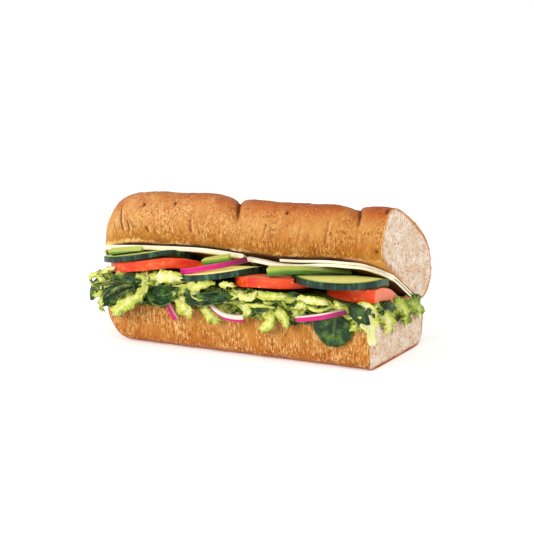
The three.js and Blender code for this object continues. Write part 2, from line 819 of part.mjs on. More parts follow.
function shredGeometries() {
  const chance = makeChance(seed)
  const made = []
  const frontLook = new THREE.Vector3(0.2, -0.9, 0.3).normalize()
  const hang = (x, top, tip, slide, width) => {
    const path = pathOf([
      [x, heap.frontY + shredShape.root, top],
      [x + slide * 0.45, heap.frontY - shredShape.bulge, lerp(top, tip, 0.3)],
      [x + slide, shredShape.tipY, tip],
    ])
    made.push(shredGeometry(path, width, frontLook, chance))
  }
  for (const shred of frontShreds) hang(shred.x, shred.top, shred.tip, shred.slide, shred.width)
  for (let k = 0; k < scatter.front; k++) {
    const x = lerp(scatter.fromX, scatter.toX, (k + 0.3 + 0.4 * chance()) / scatter.front)
    const top = scatter.frontTop + scatter.topSpread * chance()
    const tip = top - scatter.drop - scatter.dropSpread * chance()
    const slide = (2 * chance() - 1) * scatter.length
    hang(x, top, tip, slide, scatter.width + scatter.widthSpread * chance())
  }
  const cutLook = new THREE.Vector3(1, -0.25, 0.1).normalize()
  for (const shred of cutShreds) {
    const path = pathOf([
      [heap.to - shredShape.root, shred.y, shred.top],
      [heap.to + cutShredShape.reach, shred.y + shred.slide * 0.4, lerp(shred.top, shred.tip, 0.25)],
      [cutX + cutShredShape.tipReach, shred.y + shred.slide, shred.tip],
    ])
    made.push(shredGeometry(path, shred.width, cutLook, chance))
  }
  const endLook = new THREE.Vector3(-0.5, -0.7, 0.5).normalize()
  for (const shred of endShreds) {
    const path = pathOf([
      [endShredShape.x, shred.y * 0.8, shred.top],
      [endShredShape.x - endShredShape.bow, shred.y, lerp(shred.top, shred.tip, 0.2) + 2],
      [endShredShape.x - endShredShape.reach, shred.y, shred.tip],
    ])
    made.push(shredGeometry(path, shred.width, endLook, chance))
  }
  const backLook = new THREE.Vector3(0.1, 0.7, 0.7).normalize()
  for (let k = 0; k < scatter.back; k++) {
    const x = lerp(scatter.fromX, scatter.toX, (k + chance()) / scatter.back)
    const path = pathOf([
      [x, heap.backY - shredShape.root, scatter.backTop],
      [x + 2, heap.backY + shredShape.root, scatter.backTop],
      [x + 4, heap.backY + scatter.backReach, scatter.backTop - 5],
    ])
    made.push(shredGeometry(path, scatter.width + 2, backLook, chance))
  }
  return made
}

// Builds every piece, each clear of those made before it.

function material(colour, roughness) {
  return new THREE.MeshStandardMaterial({ color: colour, roughness, metalness: 0 })
}

function pick(table, names) {
  return names.map((name) => table[name])
}

const group = new THREE.Group()

function addPiece(name, geometry, colour, roughness) {
  const mesh = new THREE.Mesh(geometry, material(colour, roughness))
  mesh.name = name
  group.add(mesh)
}

addPiece('bread_heel', heelGeometry(), colours.crust, 0.85)
addPiece('bread_crown', crownGeometry(), colours.crust, 0.8)

for (const [name, cheese] of Object.entries(cheeses)) {
  addPiece(name, cheeseGeometry(cheese), colours.cheese, 0.45)
}

// Everything to the right of the knife cut is taken off the round slices.
const waste = new THREE.BoxGeometry(40, 120, 120).translate(fillingEnd + 20, 0, 40)
const offcut = closed(waste)

const over = {
  cucumber_mid: ['tomato_left', 'cucumber_left'],
  tomato_mid: ['cucumber_right'],
  tomato_right: ['tomato_mid'],
}
for (const [name, slice] of Object.entries(slices)) {
  const neighbours = pick(slices, over[name] ?? []).map((other) => sliceGeometry(other, clearance))
  const piece = cutClear(toSolid(sliceGeometry(slice)), [offcut, ...neighbours])
  const colour = name.startsWith('tomato') ? colours.tomato : colours.cucumber
  addPiece(name, toGeometry(piece), colour, 0.3)
}

const strips = { ...peppers, ...onions }
for (const [name, strip] of Object.entries(strips)) {
  addPiece(name, stripGeometry(strip), name.startsWith('pepper') ? colours.pepper : colours.onion, 0.35)
}

for (const [name, leaf] of Object.entries(leaves)) {
  addPiece(name, leafGeometry(leaf), colours.spinach, 0.4)
}

let heapSolid = toSolid(coreGeometry())
for (const shred of shredGeometries()) heapSolid = heapSolid.add(toSolid(shred))
const heapNeighbours = [
  heelGeometry(clearance),
  crownGeometry(clearance),
  ...Object.values(cheeses).map((cheese) => cheeseGeometry(cheese, clearance)),
  ...Object.values(slices).map((slice) => sliceGeometry(slice, clearance)),
  ...Object.values(strips).map((strip) => stripGeometry(strip, clearance)),
  ...Object.values(leaves).map((leaf) => leafGeometry(leaf, leafClearance)),
]
addPiece('lettuce_heap', toGeometry(cutClear(heapSolid, heapNeighbours)), colours.lettuce, 0.5)

export default group
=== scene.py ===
import math
import random

import bpy
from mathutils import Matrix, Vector, noise


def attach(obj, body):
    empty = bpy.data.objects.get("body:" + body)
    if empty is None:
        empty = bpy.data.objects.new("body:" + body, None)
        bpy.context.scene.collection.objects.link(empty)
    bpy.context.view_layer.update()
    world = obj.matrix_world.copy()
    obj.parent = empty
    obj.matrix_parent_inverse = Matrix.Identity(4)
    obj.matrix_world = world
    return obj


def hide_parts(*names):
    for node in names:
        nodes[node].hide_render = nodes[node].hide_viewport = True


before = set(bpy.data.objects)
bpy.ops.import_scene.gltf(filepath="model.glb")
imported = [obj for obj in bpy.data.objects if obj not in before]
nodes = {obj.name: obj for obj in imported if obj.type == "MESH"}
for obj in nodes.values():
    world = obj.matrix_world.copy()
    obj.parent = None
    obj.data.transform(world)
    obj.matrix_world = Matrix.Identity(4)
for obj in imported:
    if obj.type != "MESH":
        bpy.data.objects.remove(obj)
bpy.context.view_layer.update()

# Half of a filled roll, cut across at one end. Sizes are in millimetres, in the frame of the solids,
# unless a note says otherwise.
mm = 0.001
dice = random.Random(11)

photo = {
    "eye": (0.43267, -0.8333, 0.23736),  # metres
    "target": (0.006805, 0.002506, 0.037969),
    "lens": 130.6,
    "sensor": 36,
}

studio = {
    "floorSize": 14,
    "floorColour": 0.95,
    "floorGlow": 0.3,
    "ambient": 0.74,
    "lightLevel": 1.25,  # how bright a white thing's front gets
    "key": {"at": (-0.45, -0.95, 0.5), "size": 0.5, "watts": 8.5},
    "side": {"at": (0.95, -0.25, 0.5), "size": 0.6, "watts": 3},
    "aim": (0, 0, 0.03),
}


# Small sums.

def lerp(a, b, share):
    return a + (b - a) * share


def within(value, low, high):
    return min(max(value, low), high)


def smooth(share):
    t = within(share, 0, 1)
    return t * t * (3 - 2 * t)


def along(stations, x):  # the value at x of a smooth line through stations of (x, value)
    if x <= stations[0][0]:
        return stations[0][1]
    for (x0, low), (x1, high) in zip(stations, stations[1:]):
        if x < x1:
            return lerp(low, high, smooth((x - x0) / (x1 - x0)))
    return stations[-1][1]


def tint(red, green, blue):  # the shader's colour for a colour seen on the screen under the studio's light
    shares = [value / 255 for value in (red, green, blue)]
    linear = [s / 12.92 if s < 0.04 else ((s + 0.055) / 1.055) ** 2.4 for s in shares]
    return tuple(value / studio["lightLevel"] for value in linear) + (1,)


# Materials.

class Signal:
    def __init__(self, paint, socket):
        self.paint = paint
        self.socket = socket

    def sum(self, operation, a, b):
        return self.paint.node("ShaderNodeMath", {"operation": operation}, {0: a, 1: b})

    def of(self, operation):  # a function of this signal alone, such as its sine
        return self.sum(operation, self, 0)

    def __add__(self, other):
        return self.sum("ADD", self, other)

    def __radd__(self, other):
        return self.sum("ADD", other, self)

    def __sub__(self, other):
        return self.sum("SUBTRACT", self, other)

    def __rsub__(self, other):
        return self.sum("SUBTRACT", other, self)

    def __mul__(self, other):
        return self.sum("MULTIPLY", self, other)

    def __truediv__(self, other):
        return self.sum("DIVIDE", self, other)

    def __pow__(self, other):
        return self.sum("POWER", self, other)


class Paint:
    def __init__(self, name, **sockets):
        self.material = bpy.data.materials.new(name)
        self.material.use_nodes = True
        self.tree = self.material.node_tree
        self.tree.nodes.clear()
        self.shader = self.tree.nodes.new("ShaderNodeBsdfPrincipled")
        end = self.tree.nodes.new("ShaderNodeOutputMaterial")
        self.tree.links.new(self.shader.outputs["BSDF"], end.inputs["Surface"])
        for socket, value in sockets.items():
            self.shader.inputs[socket.replace("_", " ")].default_value = value

    def feed(self, socket, value):
        if isinstance(value, Signal):
            self.tree.links.new(value.socket, socket)
        else:
            socket.default_value = value

    def node(self, kind, settings, inputs, output=0):
        made = self.tree.nodes.new(kind)
        for key, value in settings.items():
            if key == "stops":
                ramp = made.color_ramp.elements
                while len(ramp) < len(value):
                    ramp.new(0.5)
                for element, (place, colour) in zip(ramp, value):
                    element.position = place
                    element.color = colour
            else:
                setattr(made, key, value)
        for key, value in inputs.items():
            self.feed(made.inputs[key], value)
        return Signal(self, made.outputs[output])

    def finish(self, **sockets):
        for socket, value in sockets.items():
            self.feed(self.shader.inputs[socket.replace("_", " ")], value)
        return self.material

    def place(self, scale=(1, 1, 1)):  # Object coordinates in millimetres, scaled
        here = self.node("ShaderNodeTexCoord", {}, {}, "Object")
        scales = [share / mm for share in scale]
        return self.node("ShaderNodeMapping", {}, {"Vector": here, "Scale": scales})

    def uv(self, scale=(1, 1, 1)):
        here = self.node("ShaderNodeTexCoord", {}, {}, "UV")
        return self.node("ShaderNodeMapping", {}, {"Vector": here, "Scale": scale})

    def axis(self, vector, name):
        return self.node("ShaderNodeSeparateXYZ", {}, {"Vector": vector}, name)

    def facing(self, name):  # the surface's own direction along an axis
        return self.axis(self.node("ShaderNodeNewGeometry", {}, {}, "Normal"), name)

    def mark(self, name):
        return self.node("ShaderNodeAttribute", {"attribute_name": name}, {}, "Fac")

    def grain(self, vector, scale, detail=3, rough=0.55):
        inputs = {"Vector": vector, "Scale": scale, "Detail": detail, "Roughness": rough}
        return self.node("ShaderNodeTexNoise", {}, inputs, "Fac")

    def cells(self, vector, scale, feature="F1"):
        inputs = {"Vector": vector, "Scale": scale}
        return self.node("ShaderNodeTexVoronoi", {"feature": feature}, inputs, "Distance")

    def step(self, value, low, high):  # 0 below low and 1 above high, smooth between
        inputs = {"Value": value, "From Min": low, "From Max": high}
        return self.node("ShaderNodeMapRange", {"interpolation_type": "SMOOTHSTEP"}, inputs)

    def ramp(self, value, stops):
        return self.node("ShaderNodeValToRGB", {"stops": stops}, {"Fac": value}, "Color")

    def blend(self, share, a, b, way="MIX"):
        settings = {"data_type": "RGBA", "blend_type": way}
        return self.node("ShaderNodeMix", settings, {0: share, 6: a, 7: b}, 2)

    def bump(self, height, distance, strength):
        inputs = {"Height": height, "Distance": distance * mm, "Strength": strength}
        return self.node("ShaderNodeBump", {}, inputs, "Normal")


# Pieces.

smoothing = {
    "mergeWithin": 0.002,
    "flatEnough": (0.6, 0.9),  # how far two triangles may bend and lean to become a square
    "sharpDegrees": 38,
    "levels": 2,
    "shadeDegrees": 50,
    "bevelDegrees": 40,
}


def only(piece):
    bpy.ops.object.select_all(action="DESELECT")
    piece.select_set(True)
    bpy.context.view_layer.objects.active = piece


def addMesh(shape, **sizes):  # one of Blender's own meshes, at the origin
    bpy.ops.object.select_all(action="DESELECT")
    shape(location=(0, 0, 0), **sizes)
    return bpy.context.object


def modify(piece, kind, **settings):
    only(piece)
    modifier = piece.modifiers.new(kind.lower(), kind)
    for key, value in settings.items():
        setattr(modifier, key, value)
    bpy.ops.object.modifier_apply(modifier=modifier.name)


def copySolid(node, name):  # a merged copy of a solid, in squares where they are flat enough
    piece = bpy.data.objects.new(name, nodes[node].data.copy())
    bpy.context.scene.collection.objects.link(piece)
    piece.data.materials.clear()
    only(piece)
    bpy.ops.mesh.customdata_custom_splitnormals_clear()
    bpy.ops.object.mode_set(mode="EDIT")
    bpy.ops.mesh.select_all(action="SELECT")
    bpy.ops.mesh.remove_doubles(threshold=smoothing["mergeWithin"] * mm)
    bend, lean = smoothing["flatEnough"]
    bpy.ops.mesh.tris_convert_to_quads(face_threshold=bend, shape_threshold=lean)
    bpy.ops.object.mode_set(mode="OBJECT")
    return piece


def creaseSharp(piece):  # its sharp edges stay sharp under subdivision
    only(piece)
    bpy.ops.object.mode_set(mode="EDIT")
    bpy.ops.mesh.select_mode(type="EDGE")
    bpy.ops.mesh.select_all(action="DESELECT")
    bpy.ops.mesh.edges_select_sharp(sharpness=math.radians(smoothing["sharpDegrees"]))
    bpy.ops.object.mode_set(mode="OBJECT")
    sharp = [float(edge.select) for edge in piece.data.edges]
    piece.data.attributes.new("crease_edge", "FLOAT", "EDGE").data.foreach_set("value", sharp)


def refine(node, name):
    piece = copySolid(node, name)
    creaseSharp(piece)
    modify(piece, "SUBSURF", levels=smoothing["levels"], render_levels=smoothing["levels"])
    return piece


def carve(piece, rule, names=()):  # rule gives a height along the normal and a value for each name
    mesh = piece.data
    moves = []
    marks = {name: [] for name in names}
    for vertex in mesh.vertices:
        height, values = rule(vertex.co / mm, vertex.normal)
        moves.append(vertex.normal * height * mm)
        for name, value in zip(names, values):
            marks[name].append(value)
    for vertex, move in zip(mesh.vertices, moves):
        vertex.co += move
    for name, values in marks.items():
        mesh.attributes.new(name, "FLOAT", "POINT").data.foreach_set("value", values)


def bevel(piece, width, degrees=smoothing["bevelDegrees"]):
    turn = math.radians(degrees)
    modify(piece, "BEVEL", width=width * mm, segments=2, limit_method="ANGLE", angle_limit=turn)


def fillMark(piece, name, value):
    mark = piece.data.attributes.new(name, "FLOAT", "POINT")
    mark.data.foreach_set("value", [value] * len(piece.data.vertices))


def settle(piece, material, slot, node):
    piece.data.materials.clear()
    piece.data.materials.append(material)
    only(piece)
    bpy.ops.object.shade_smooth_by_angle(angle=math.radians(smoothing["shadeDegrees"]))
    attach(piece, "root")
    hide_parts(node)


# Bread.

crown = {
    "edgeY": -16.7,
    "pitch": math.radians(30),
    "edges": [(-82, 45.6), (-48, 48.4), (-22, 49.7), (19, 48.4), (35, 49), (51, 50.4), (77, 50.7)],
    "middle": 29,
    "waist": 13,
    "halfWidth": 34.2,
    "rise": 17.8,
    "drop": 18,
    "frontPower": 3.8,
    "backPower": 2.15,
    "lowPower": 2.6,
    "slashes": [(-8, 1.4), (56.5, 1.5)],  # place along the loaf, depth of the crease
    "slash": {"from": 9, "fade": 14, "depth": 1.2, "width": 0.65},
    # painted shade beside each slash on its side toward the round end, and a painted highlight on its side
    # toward the cut
    "besideSlash": {"dark": 0.35, "darkReach": 4, "light": 0.5, "lightReach": 2.5},
    "lean": {"reach": 10, "middleY": 3, "softness": 22},
    "folds": [  # short wrinkles on the front, painted darker inside as shade, from x, z to x, z, with depth and width
        (-68.4, 63, -66.6, 58, 0.9, 0.6),
        (-66.6, 58, -64.6, 54, 0.9, 0.6),
        (-70.8, 56.5, -69, 53, 0.5, 0.6),
        (-62.8, 58.6, -60.6, 54.4, 0.8, 0.5),
        (-60, 58, -57.4, 55.4, 0.6, 0.5),
        (-53.6, 59.4, -53.8, 56.4, 0.4, 0.5),
        (-50.6, 56.2, -49.6, 54.8, 1, 0.9),
        (-44, 60, -43, 56, 0.3, 0.5),
        (-38, 57.5, -36.6, 54, 0.4, 0.5),
        (-26.6, 62, -25.4, 57, 0.6, 0.6),
        (-25.4, 57, -23, 53.6, 0.5, 0.6),
        (-22.6, 60.6, -20.2, 56, 0.5, 0.5),
        (-19, 58.4, -17.4, 54.4, 0.4, 0.5),
        (-5.4, 58, -6.4, 54, 0.4, 0.6),
        (1.4, 60, 0.8, 55, 0.35, 0.5),
        (14.6, 63, 14.2, 57, 0.5, 0.6),
        (19, 60, 19.4, 55, 0.35, 0.5),
        (33, 64, 33.2, 58, 0.35, 0.5),
        (38, 61, 38.6, 57, 0.3, 0.5),
        (47.2, 67, 47.6, 58, 0.5, 0.6),
        (50.4, 63, 50.8, 58, 0.35, 0.5),
        (63, 62, 63.6, 56, 0.4, 0.5),
    ],
    "ridge": {"shift": 1.3, "height": 0.4},  # the raised side of a wrinkle, which gets a painted highlight
    "chars": [(-55, 66.6), (-37.4, 68.4), (24.2, 68.8), (75.2, 73.2), (74.3, 55.4)],  # dark spots, at x, z
    "charSize": 1.3,
    "lip": {"height": 1.1, "ragged": 1.1, "soft": 0.8, "thick": 0.3, "rim": 1.3},
    "flareLow": {"height": 2.2, "from": -68, "fade": 11, "reach": 2},
    "flareSide": {"height": 1.3, "from": -64, "fade": 12, "middle": 11, "reach": 7.5},
    "colours": [  # from low on the crust to its top
        (0, (194, 130, 40)),
        (0.14, (204, 132, 46)),
        (0.4, (232, 166, 94)),
        (0.7, (218, 138, 72)),
        (1, (190, 98, 42)),
    ],
    # the rim colour is the lip's own pale colour lifted above white as painted light, since the lip faces
    # down
    "look": {"streak": 0.45, "calm": 0.55, "redder": 1, "contrast": 1, "rim": (276, 226, 140)},
}

heel = {
    "frontY": -30.2,
    "backY": 35.2,
    "topFront": 23.5,
    "topFrontY": -29,
    "topBack": 17,
    "topBackY": 34.9,
    "colours": [(0, (160, 78, 14)), (0.1, (190, 108, 28)), (0.35, (210, 138, 52)), (0.8, (204, 134, 60))],
    "look": {"streak": 0.34, "calm": 0, "redder": 0, "contrast": 1.25, "rim": (178, 92, 26)},
}

bread = {
    "cut": 77,
    "cutSoft": {"before": 1.2, "fade": 0.7},
    "voxel": 0.62,
    "poreSizes": [(3.4, 0.45, 0.4), (1.9, 0.3, 0.5)],  # spacing, depth, share of cells that are open
    "dents": (0.4, 11),  # height and spacing
    "grain": [(0.2, 4.5), (0.14, 1.9), (0.08, 0.95)],
    "crustThickness": 1.1,
    "crumbDrop": 0.15,
}

acrossCut = Vector((0, math.cos(crown["pitch"]), -math.sin(crown["pitch"])))
offCut = Vector((0, math.sin(crown["pitch"]), math.cos(crown["pitch"])))


def crownSection(point):  # u along the crown's underside to the back, v square to it
    fromEdge = point - Vector((point.x, crown["edgeY"], along(crown["edges"], point.x)))
    return fromEdge.dot(acrossCut), fromEdge.dot(offCut)


def crownDepth(u, v):  # how deep a point of the section lies under the crust
    du, dv = u - crown["middle"], v - crown["waist"]
    upper = crown["frontPower"] if du < 0 else crown["backPower"]
    power = upper if dv > 0 else crown["lowPower"]
    height = crown["rise"] if dv > 0 else crown["drop"]
    reach = (abs(du / crown["halfWidth"]) ** power + abs(dv / height) ** power) ** (1 / power)
    return (1 - reach) * math.hypot(du, dv) / max(reach, 0.1)


def pores(point):  # the height of an open crumb, below zero in its pores
    height = 0
    for spacing, depth, share in bread["poreSizes"]:
        distances, centres = noise.voronoi(point / spacing)
        if noise.noise(centres[0] * 5.3) * 0.5 + 0.5 < share:
            height -= depth * (1 - smooth(distances[0] / 0.5))
    return height + 0.12 * noise.fractal(point / 3, 1, 2, 3)


def crustGrain(point, stretch):  # fine unevenness of a crust, drawn out upward by stretch
    drawn = Vector((point.x, point.y, point.z / stretch))
    deep, spacing = bread["dents"]
    height = deep * noise.noise(point / spacing)
    for fine, spacing in bread["grain"]:
        height += fine * noise.noise(drawn / spacing)
    return height


def foldDepth(point, shift=0):
    depth = 0
    for x0, z0, x1, z1, deep, wide in crown["folds"]:
        line = Vector((x1 - x0, z1 - z0))
        offset = Vector((point.x - shift - x0, point.z - z0))
        share = within(offset.dot(line) / line.dot(line), 0, 1)
        away = (offset - line * share).length
        depth += deep * math.exp(-(away / wide) ** 2)
    return depth


def slashMarks(point, v):  # the depth of the creases, which also sets their painted shade, and painted shade on each slash's side toward the round end and painted light on its side toward the cut
    lean, slash, beside = crown["lean"], crown["slash"], crown["besideSlash"]
    swing = lean["reach"] * math.tanh((lean["middleY"] - point.y) / lean["softness"])
    high = smooth((v - slash["from"]) / slash["fade"])
    crease, shade = 0, 0
    for x, deep in crown["slashes"]:
        away = point.x - x - swing
        crease += slash["depth"] * deep * math.exp(-abs(away) / slash["width"]) * high
        if away < 0:
            shade += high * (beside["dark"] * math.exp(away / beside["darkReach"]))
        else:
            shade -= high * (beside["light"] * math.exp(-away / beside["lightReach"]) * smooth(away))
    return crease, shade


def onKnifeCut(point, normal):
    soft = bread["cutSoft"]
    return smooth((point.x - bread["cut"] + soft["before"]) / soft["fade"]) * smooth((normal.x - 0.3) / 0.4)


def lipShare(point, v, depth, onCut):  # the pale ragged rim along the lower edge and round the cut
    shape = crown["lip"]
    left = smooth((-38 - point.x) / 14)
    ragged = shape["height"] + left + shape["ragged"] * noise.noise(Vector((point.x / 6, 0, 3)))
    ragged += shape["ragged"] * noise.noise(point / 1.1)
    patchy = smooth(0.6 + 1.8 * noise.noise(Vector((point.x / 9, 4, 0))) + left)
    lip = smooth((ragged - v) / shape["soft"]) * smooth((v + 0.1) / 0.4) * (1 - onCut) * patchy
    return max(lip, 0.7 * onCut * smooth((shape["rim"] - depth) / 0.5) * smooth(v / 3))


def charShare(point, normal, onCut):  # the dark spots on the front
    near = max(crown["charSize"] - math.hypot(point.x - x, point.z - z) for x, z in crown["chars"])
    return smooth(near * (1 - onCut) / 0.9) * smooth(-normal.y * 4 + 1.5)


def flareHeight(point, v):  # how much fuller the round end is, low down and at its side
    low, side = crown["flareLow"], crown["flareSide"]
    flare = low["height"] * smooth((low["from"] - point.x) / low["fade"])
    flare = flare * math.exp(-max(v, 0) / low["reach"]) * smooth(v + 1)
    bulge = side["height"] * smooth((side["from"] - point.x) / side["fade"])
    return flare + bulge * math.exp(-((v - side["middle"]) / side["reach"]) ** 2) * smooth(v / 2)


def crownRule(point, normal):
    u, v = crownSection(point)
    crease, shade = slashMarks(point, v)
    onCut = onKnifeCut(point, normal)
    under = smooth((-normal.dot(offCut) - 0.6) / 0.3) * smooth((0.9 - v) / 0.6)
    depth = crownDepth(u, v)
    inside = smooth((depth - bread["crustThickness"] + 0.5 * noise.noise(point / 2)) / 1.3)
    golden = smooth((4.6 - 0.06 * u + 3 * noise.noise(point / 3.5) - v) / 3.4) * smooth((34 - u) / 16)
    crumb = max(onCut * inside * (1 - 0.8 * golden), under)
    front = smooth((-normal.y - 0.1) / 0.4)
    folded = front * foldDepth(point)
    ridge = front * foldDepth(point, crown["ridge"]["shift"])
    crust = crustGrain(point, 3) - crease - folded + crown["ridge"]["height"] * ridge
    lip = lipShare(point, v, depth, onCut)
    # painted shade in the creases, in the wrinkles and beside the slashes, and below zero a painted highlight
    # on the wrinkles' raised sides and beside the slashes
    edge = min(0.8 * crease + 1.1 * folded - 0.7 * ridge + shade, 1)
    char = charShare(point, normal, onCut)
    height = crumb * (pores(point) - bread["crumbDrop"]) + (1 - crumb) * (crust - 0.12)
    height = height + crown["lip"]["thick"] * lip * (1 - under) + flareHeight(point, v)
    return height - 0.3 * char, (crumb, lip, edge, v, char)


def heelTop(y):  # the height of the heel's sloping top
    share = (y - heel["topFrontY"]) / (heel["topBackY"] - heel["topFrontY"])
    return lerp(heel["topFront"], heel["topBack"], share)


def heelRule(point, normal):
    onCut = onKnifeCut(point, normal)
    onTop = smooth((normal.z - 0.5) / 0.3) * smooth((point.z - heelTop(point.y) + 1.5) / 0.8)
    deep = min(point.y - heel["frontY"], heel["backY"] - point.y, point.z)
    crumb = max(onCut * smooth((deep - bread["crustThickness"]) / 0.7), onTop)
    base = smooth((2.6 + 0.8 * noise.noise(point / 5) - point.z) / 2.2)
    onBase = smooth((0.7 - point.z) / 0.4)
    crust = (1.4 * crustGrain(point, 5) - 0.15) * (1 - onBase)
    height = crumb * (pores(point) - bread["crumbDrop"]) + (1 - crumb) * crust
    # painted shadow of the lettuce along the top of the heel's front, with a ragged lower edge; it goes into
    # the same mark as the crown's painted crease shade
    low = 3.4 * noise.noise(Vector((point.x / 6, 0, 9)))
    shade = smooth((point.z - 20.4 - low) / 3) * smooth(-normal.y * 3)
    return height, (crumb, base, 0.75 * shade, point.z, 0)


def makeBread(node, name, rule):
    piece = refine(node, name)
    modify(piece, "REMESH", mode="VOXEL", voxel_size=bread["voxel"] * mm)
    modify(piece, "SMOOTH", factor=0.5, iterations=3)
    carve(piece, rule, ("crumb", "rim", "crease", "climb", "char"))
    return piece


def crustMaterial(name, colours, look):
    paint = Paint(name, Specular_IOR_Level=0.15)
    here = paint.place()
    drawn = paint.place((1.15, 1.15, look["streak"]))
    broad = paint.grain(here, 0.07, 3)
    mottle = paint.grain(drawn, 0.95, 4, 0.8)
    grit = paint.grain(drawn, 1.7, 3, 0.75)
    climb = paint.mark("climb") / 32 + (broad - 0.5) * 0.35
    baked = paint.ramp(climb, [(place, tint(*colour)) for place, colour in colours])
    right = paint.step(paint.axis(here, "X"), -75, 60)
    patch = paint.grain(paint.place((1, 1, 0.4)), 0.16, 4, 0.6)
    baked = paint.blend(paint.step(patch, 0.5, 0.7) * 0.5, baked, tint(244, 192, 122))
    baked = paint.blend(paint.step(patch, 0.5, 0.3) * 0.5, baked, tint(176, 92, 30))
    cluster = paint.step(paint.grain(here, 0.1, 3), 0.36, 0.62)
    cluster = cluster * (1 - paint.step(climb, 0.3, 0.9) * look["calm"])
    cluster = (cluster * 0.8 + 0.25) * look["contrast"]
    baked = paint.blend(paint.step(mottle, 0.5, 0.66) * cluster, baked, tint(254, 208, 138))
    baked = paint.blend(paint.step(mottle, 0.5, 0.35) * cluster, baked, tint(148, 74, 16))
    baked = paint.blend(paint.step(grit, 0.54, 0.68) * cluster * 0.9, baked, tint(132, 56, 10))
    warm = paint.blend(paint.step(climb, 0.4, 0.85), (0.88, 0.8, 0.6, 1), (0.82, 0.5, 0.28, 1))
    baked = paint.blend(right * look["redder"], baked, paint.blend(1, baked, warm, "MULTIPLY"))
    # painted shade in dark brown where this mark is above zero, in creases and wrinkles, beside the slashes
    # and under the lettuce on the heel; painted highlight in pale gold where it is below zero
    crease = paint.mark("crease")
    baked = paint.blend(paint.step(crease, 0, 1) * 0.85, baked, tint(120, 56, 20))
    baked = paint.blend(paint.step(crease, 0, -0.7) * 0.75, baked, tint(252, 210, 140))
    # the crown's pale lip gets a colour lifted above white as painted light, since it faces down; the heel's
    # base gets its darker colour here
    baked = paint.blend(paint.mark("rim") * paint.step(mottle, 0.3, 0.6), baked, tint(*look["rim"]))
    baked = paint.blend(paint.mark("char") * 0.9, baked, tint(60, 28, 24))
    clumps = paint.step(paint.grain(here, 0.14, 3), 0.36, 0.6)
    bran = paint.step(paint.cells(here, 0.62), 0.46, 0.26) * paint.step(paint.grain(here, 0.4, 2), 0.6, 0.52)
    bran = bran * (0.4 + clumps * 0.6)
    hole = paint.step(paint.cells(here, 0.8), 0.4, 0.15)
    cloudy = paint.step(paint.grain(here, 0.2, 4), 0.3, 0.7)
    crumb = paint.blend(cloudy, tint(262, 246, 228), tint(236, 206, 170))
    # painted shade in the crumb's pores
    crumb = paint.blend(hole * 0.22, crumb, tint(206, 160, 112))
    crumb = paint.blend(bran * 0.9, crumb, tint(226, 124, 38))
    # painted shade on the crown's downward-facing crumb, in dark brown, turning toward the cut into a painted
    # orange light thrown up from the tomato
    below = paint.blend(paint.step(paint.axis(here, "X"), 50, 72), tint(112, 70, 36), tint(250, 176, 92))
    crumb = paint.blend(paint.step(paint.facing("Z"), -0.4, -0.75), crumb, below)
    inside = paint.mark("crumb")
    colour = paint.blend(inside, baked, crumb)
    rough = 0.5 + inside * 0.4
    relief = (mottle + grit * 0.5) * (1 - inside) * 0.8
    relief = relief + inside * (paint.grain(here, 1.1, 4, 0.7) - hole * 0.8)
    return paint.finish(Base_Color=colour, Roughness=rough, Normal=paint.bump(relief, 0.6, 0.9))


crownCrust = crustMaterial("crownCrust", crown["colours"], crown["look"])
settle(makeBread("bread_crown", "crownBread", crownRule), crownCrust, "bread", "bread_crown")
heelCrust = crustMaterial("heelCrust", heel["colours"], heel["look"])
settle(makeBread("bread_heel", "heelBread", heelRule), heelCrust, "bread", "bread_heel")
print("bread baked")


# Cheese.

def cheeseMaterial():
    paint = Paint("cheese", Specular_IOR_Level=0.35, Subsurface_Weight=0.25,
                  Subsurface_Radius=(1, 0.7, 0.35), Subsurface_Scale=2 * mm)
    here = paint.place()
    below = paint.step(paint.facing("Z"), -0.1, -0.5)
    depth = paint.mark("depth")
    colour = paint.blend(paint.grain(here, 0.12, 3), tint(264, 258, 238), tint(258, 246, 214))
    # on the underside: painted light brighter than white near the front edge, painted warm yellow light a
    # little further back, and painted shade in dark brown deeper in
    colour = paint.blend(below, colour, tint(316, 292, 226))
    colour = paint.blend(below * paint.step(depth, 1.2, 2.8), colour, tint(250, 204, 96))
    colour = paint.blend(below * paint.step(depth, 2.2, 5.5), colour, tint(92, 66, 24))
    rough = 0.32 + paint.grain(here, 0.5, 2) * 0.2
    relief = paint.bump(paint.grain(here, 0.3, 3), 0.15, 0.5)
    return paint.finish(Base_Color=colour, Roughness=rough, Normal=relief)


fronts = {  # the front edge of each slice: places along the loaf and the y there
    "cheese_left": [(-42, -19.3), (-4, -16.6)],
    "cheese_mid": [(58, -20.8), (66, -18.8), (72, -12.2), (77, -3.4)],
    "cheese_right": [(58, -20), (66, -18), (72, -11.4), (77, -2.4)],
}
cheeseEdge = 0.22
cheese = cheeseMaterial()
for node, front in fronts.items():
    piece = refine(node, node.replace("_", "Slice"))
    bevel(piece, cheeseEdge)
    carve(piece, lambda point, normal: (0, (point.y - along(front, point.x),)), ("depth",))
    settle(piece, cheese, "cheese", node)
print("cheese sliced")


# Round slices.

slices = {
    "cucumber_left": {"at": (-50.5, -13), "radius": 23.8},
    # the middle slice's flesh gets painted light
    "cucumber_mid": {"at": (-8.5, -13), "radius": 23.8, "paler": 0.8},
    "cucumber_right": {"at": (54.2, -13), "radius": 23.2},
    "tomato_left": {"at": (-45, -6.5), "radius": 28.5},
    "tomato_mid": {"at": (23, -9.6), "radius": 25},
    "tomato_right": {"at": (68.5, -0.5), "radius": 25},
}
sliceEdge = 0.4


def layRound(piece, at, radius):  # a flat map, 0 at the slice's middle and 1 at its skin
    layer = piece.data.uv_layers.new(name="round")
    vertices = piece.data.vertices
    for loop in piece.data.loops:
        place = vertices[loop.vertex_index].co / mm
        layer.data[loop.index].uv = ((place.x - at[0]) / radius, (place.y - at[1]) / radius)


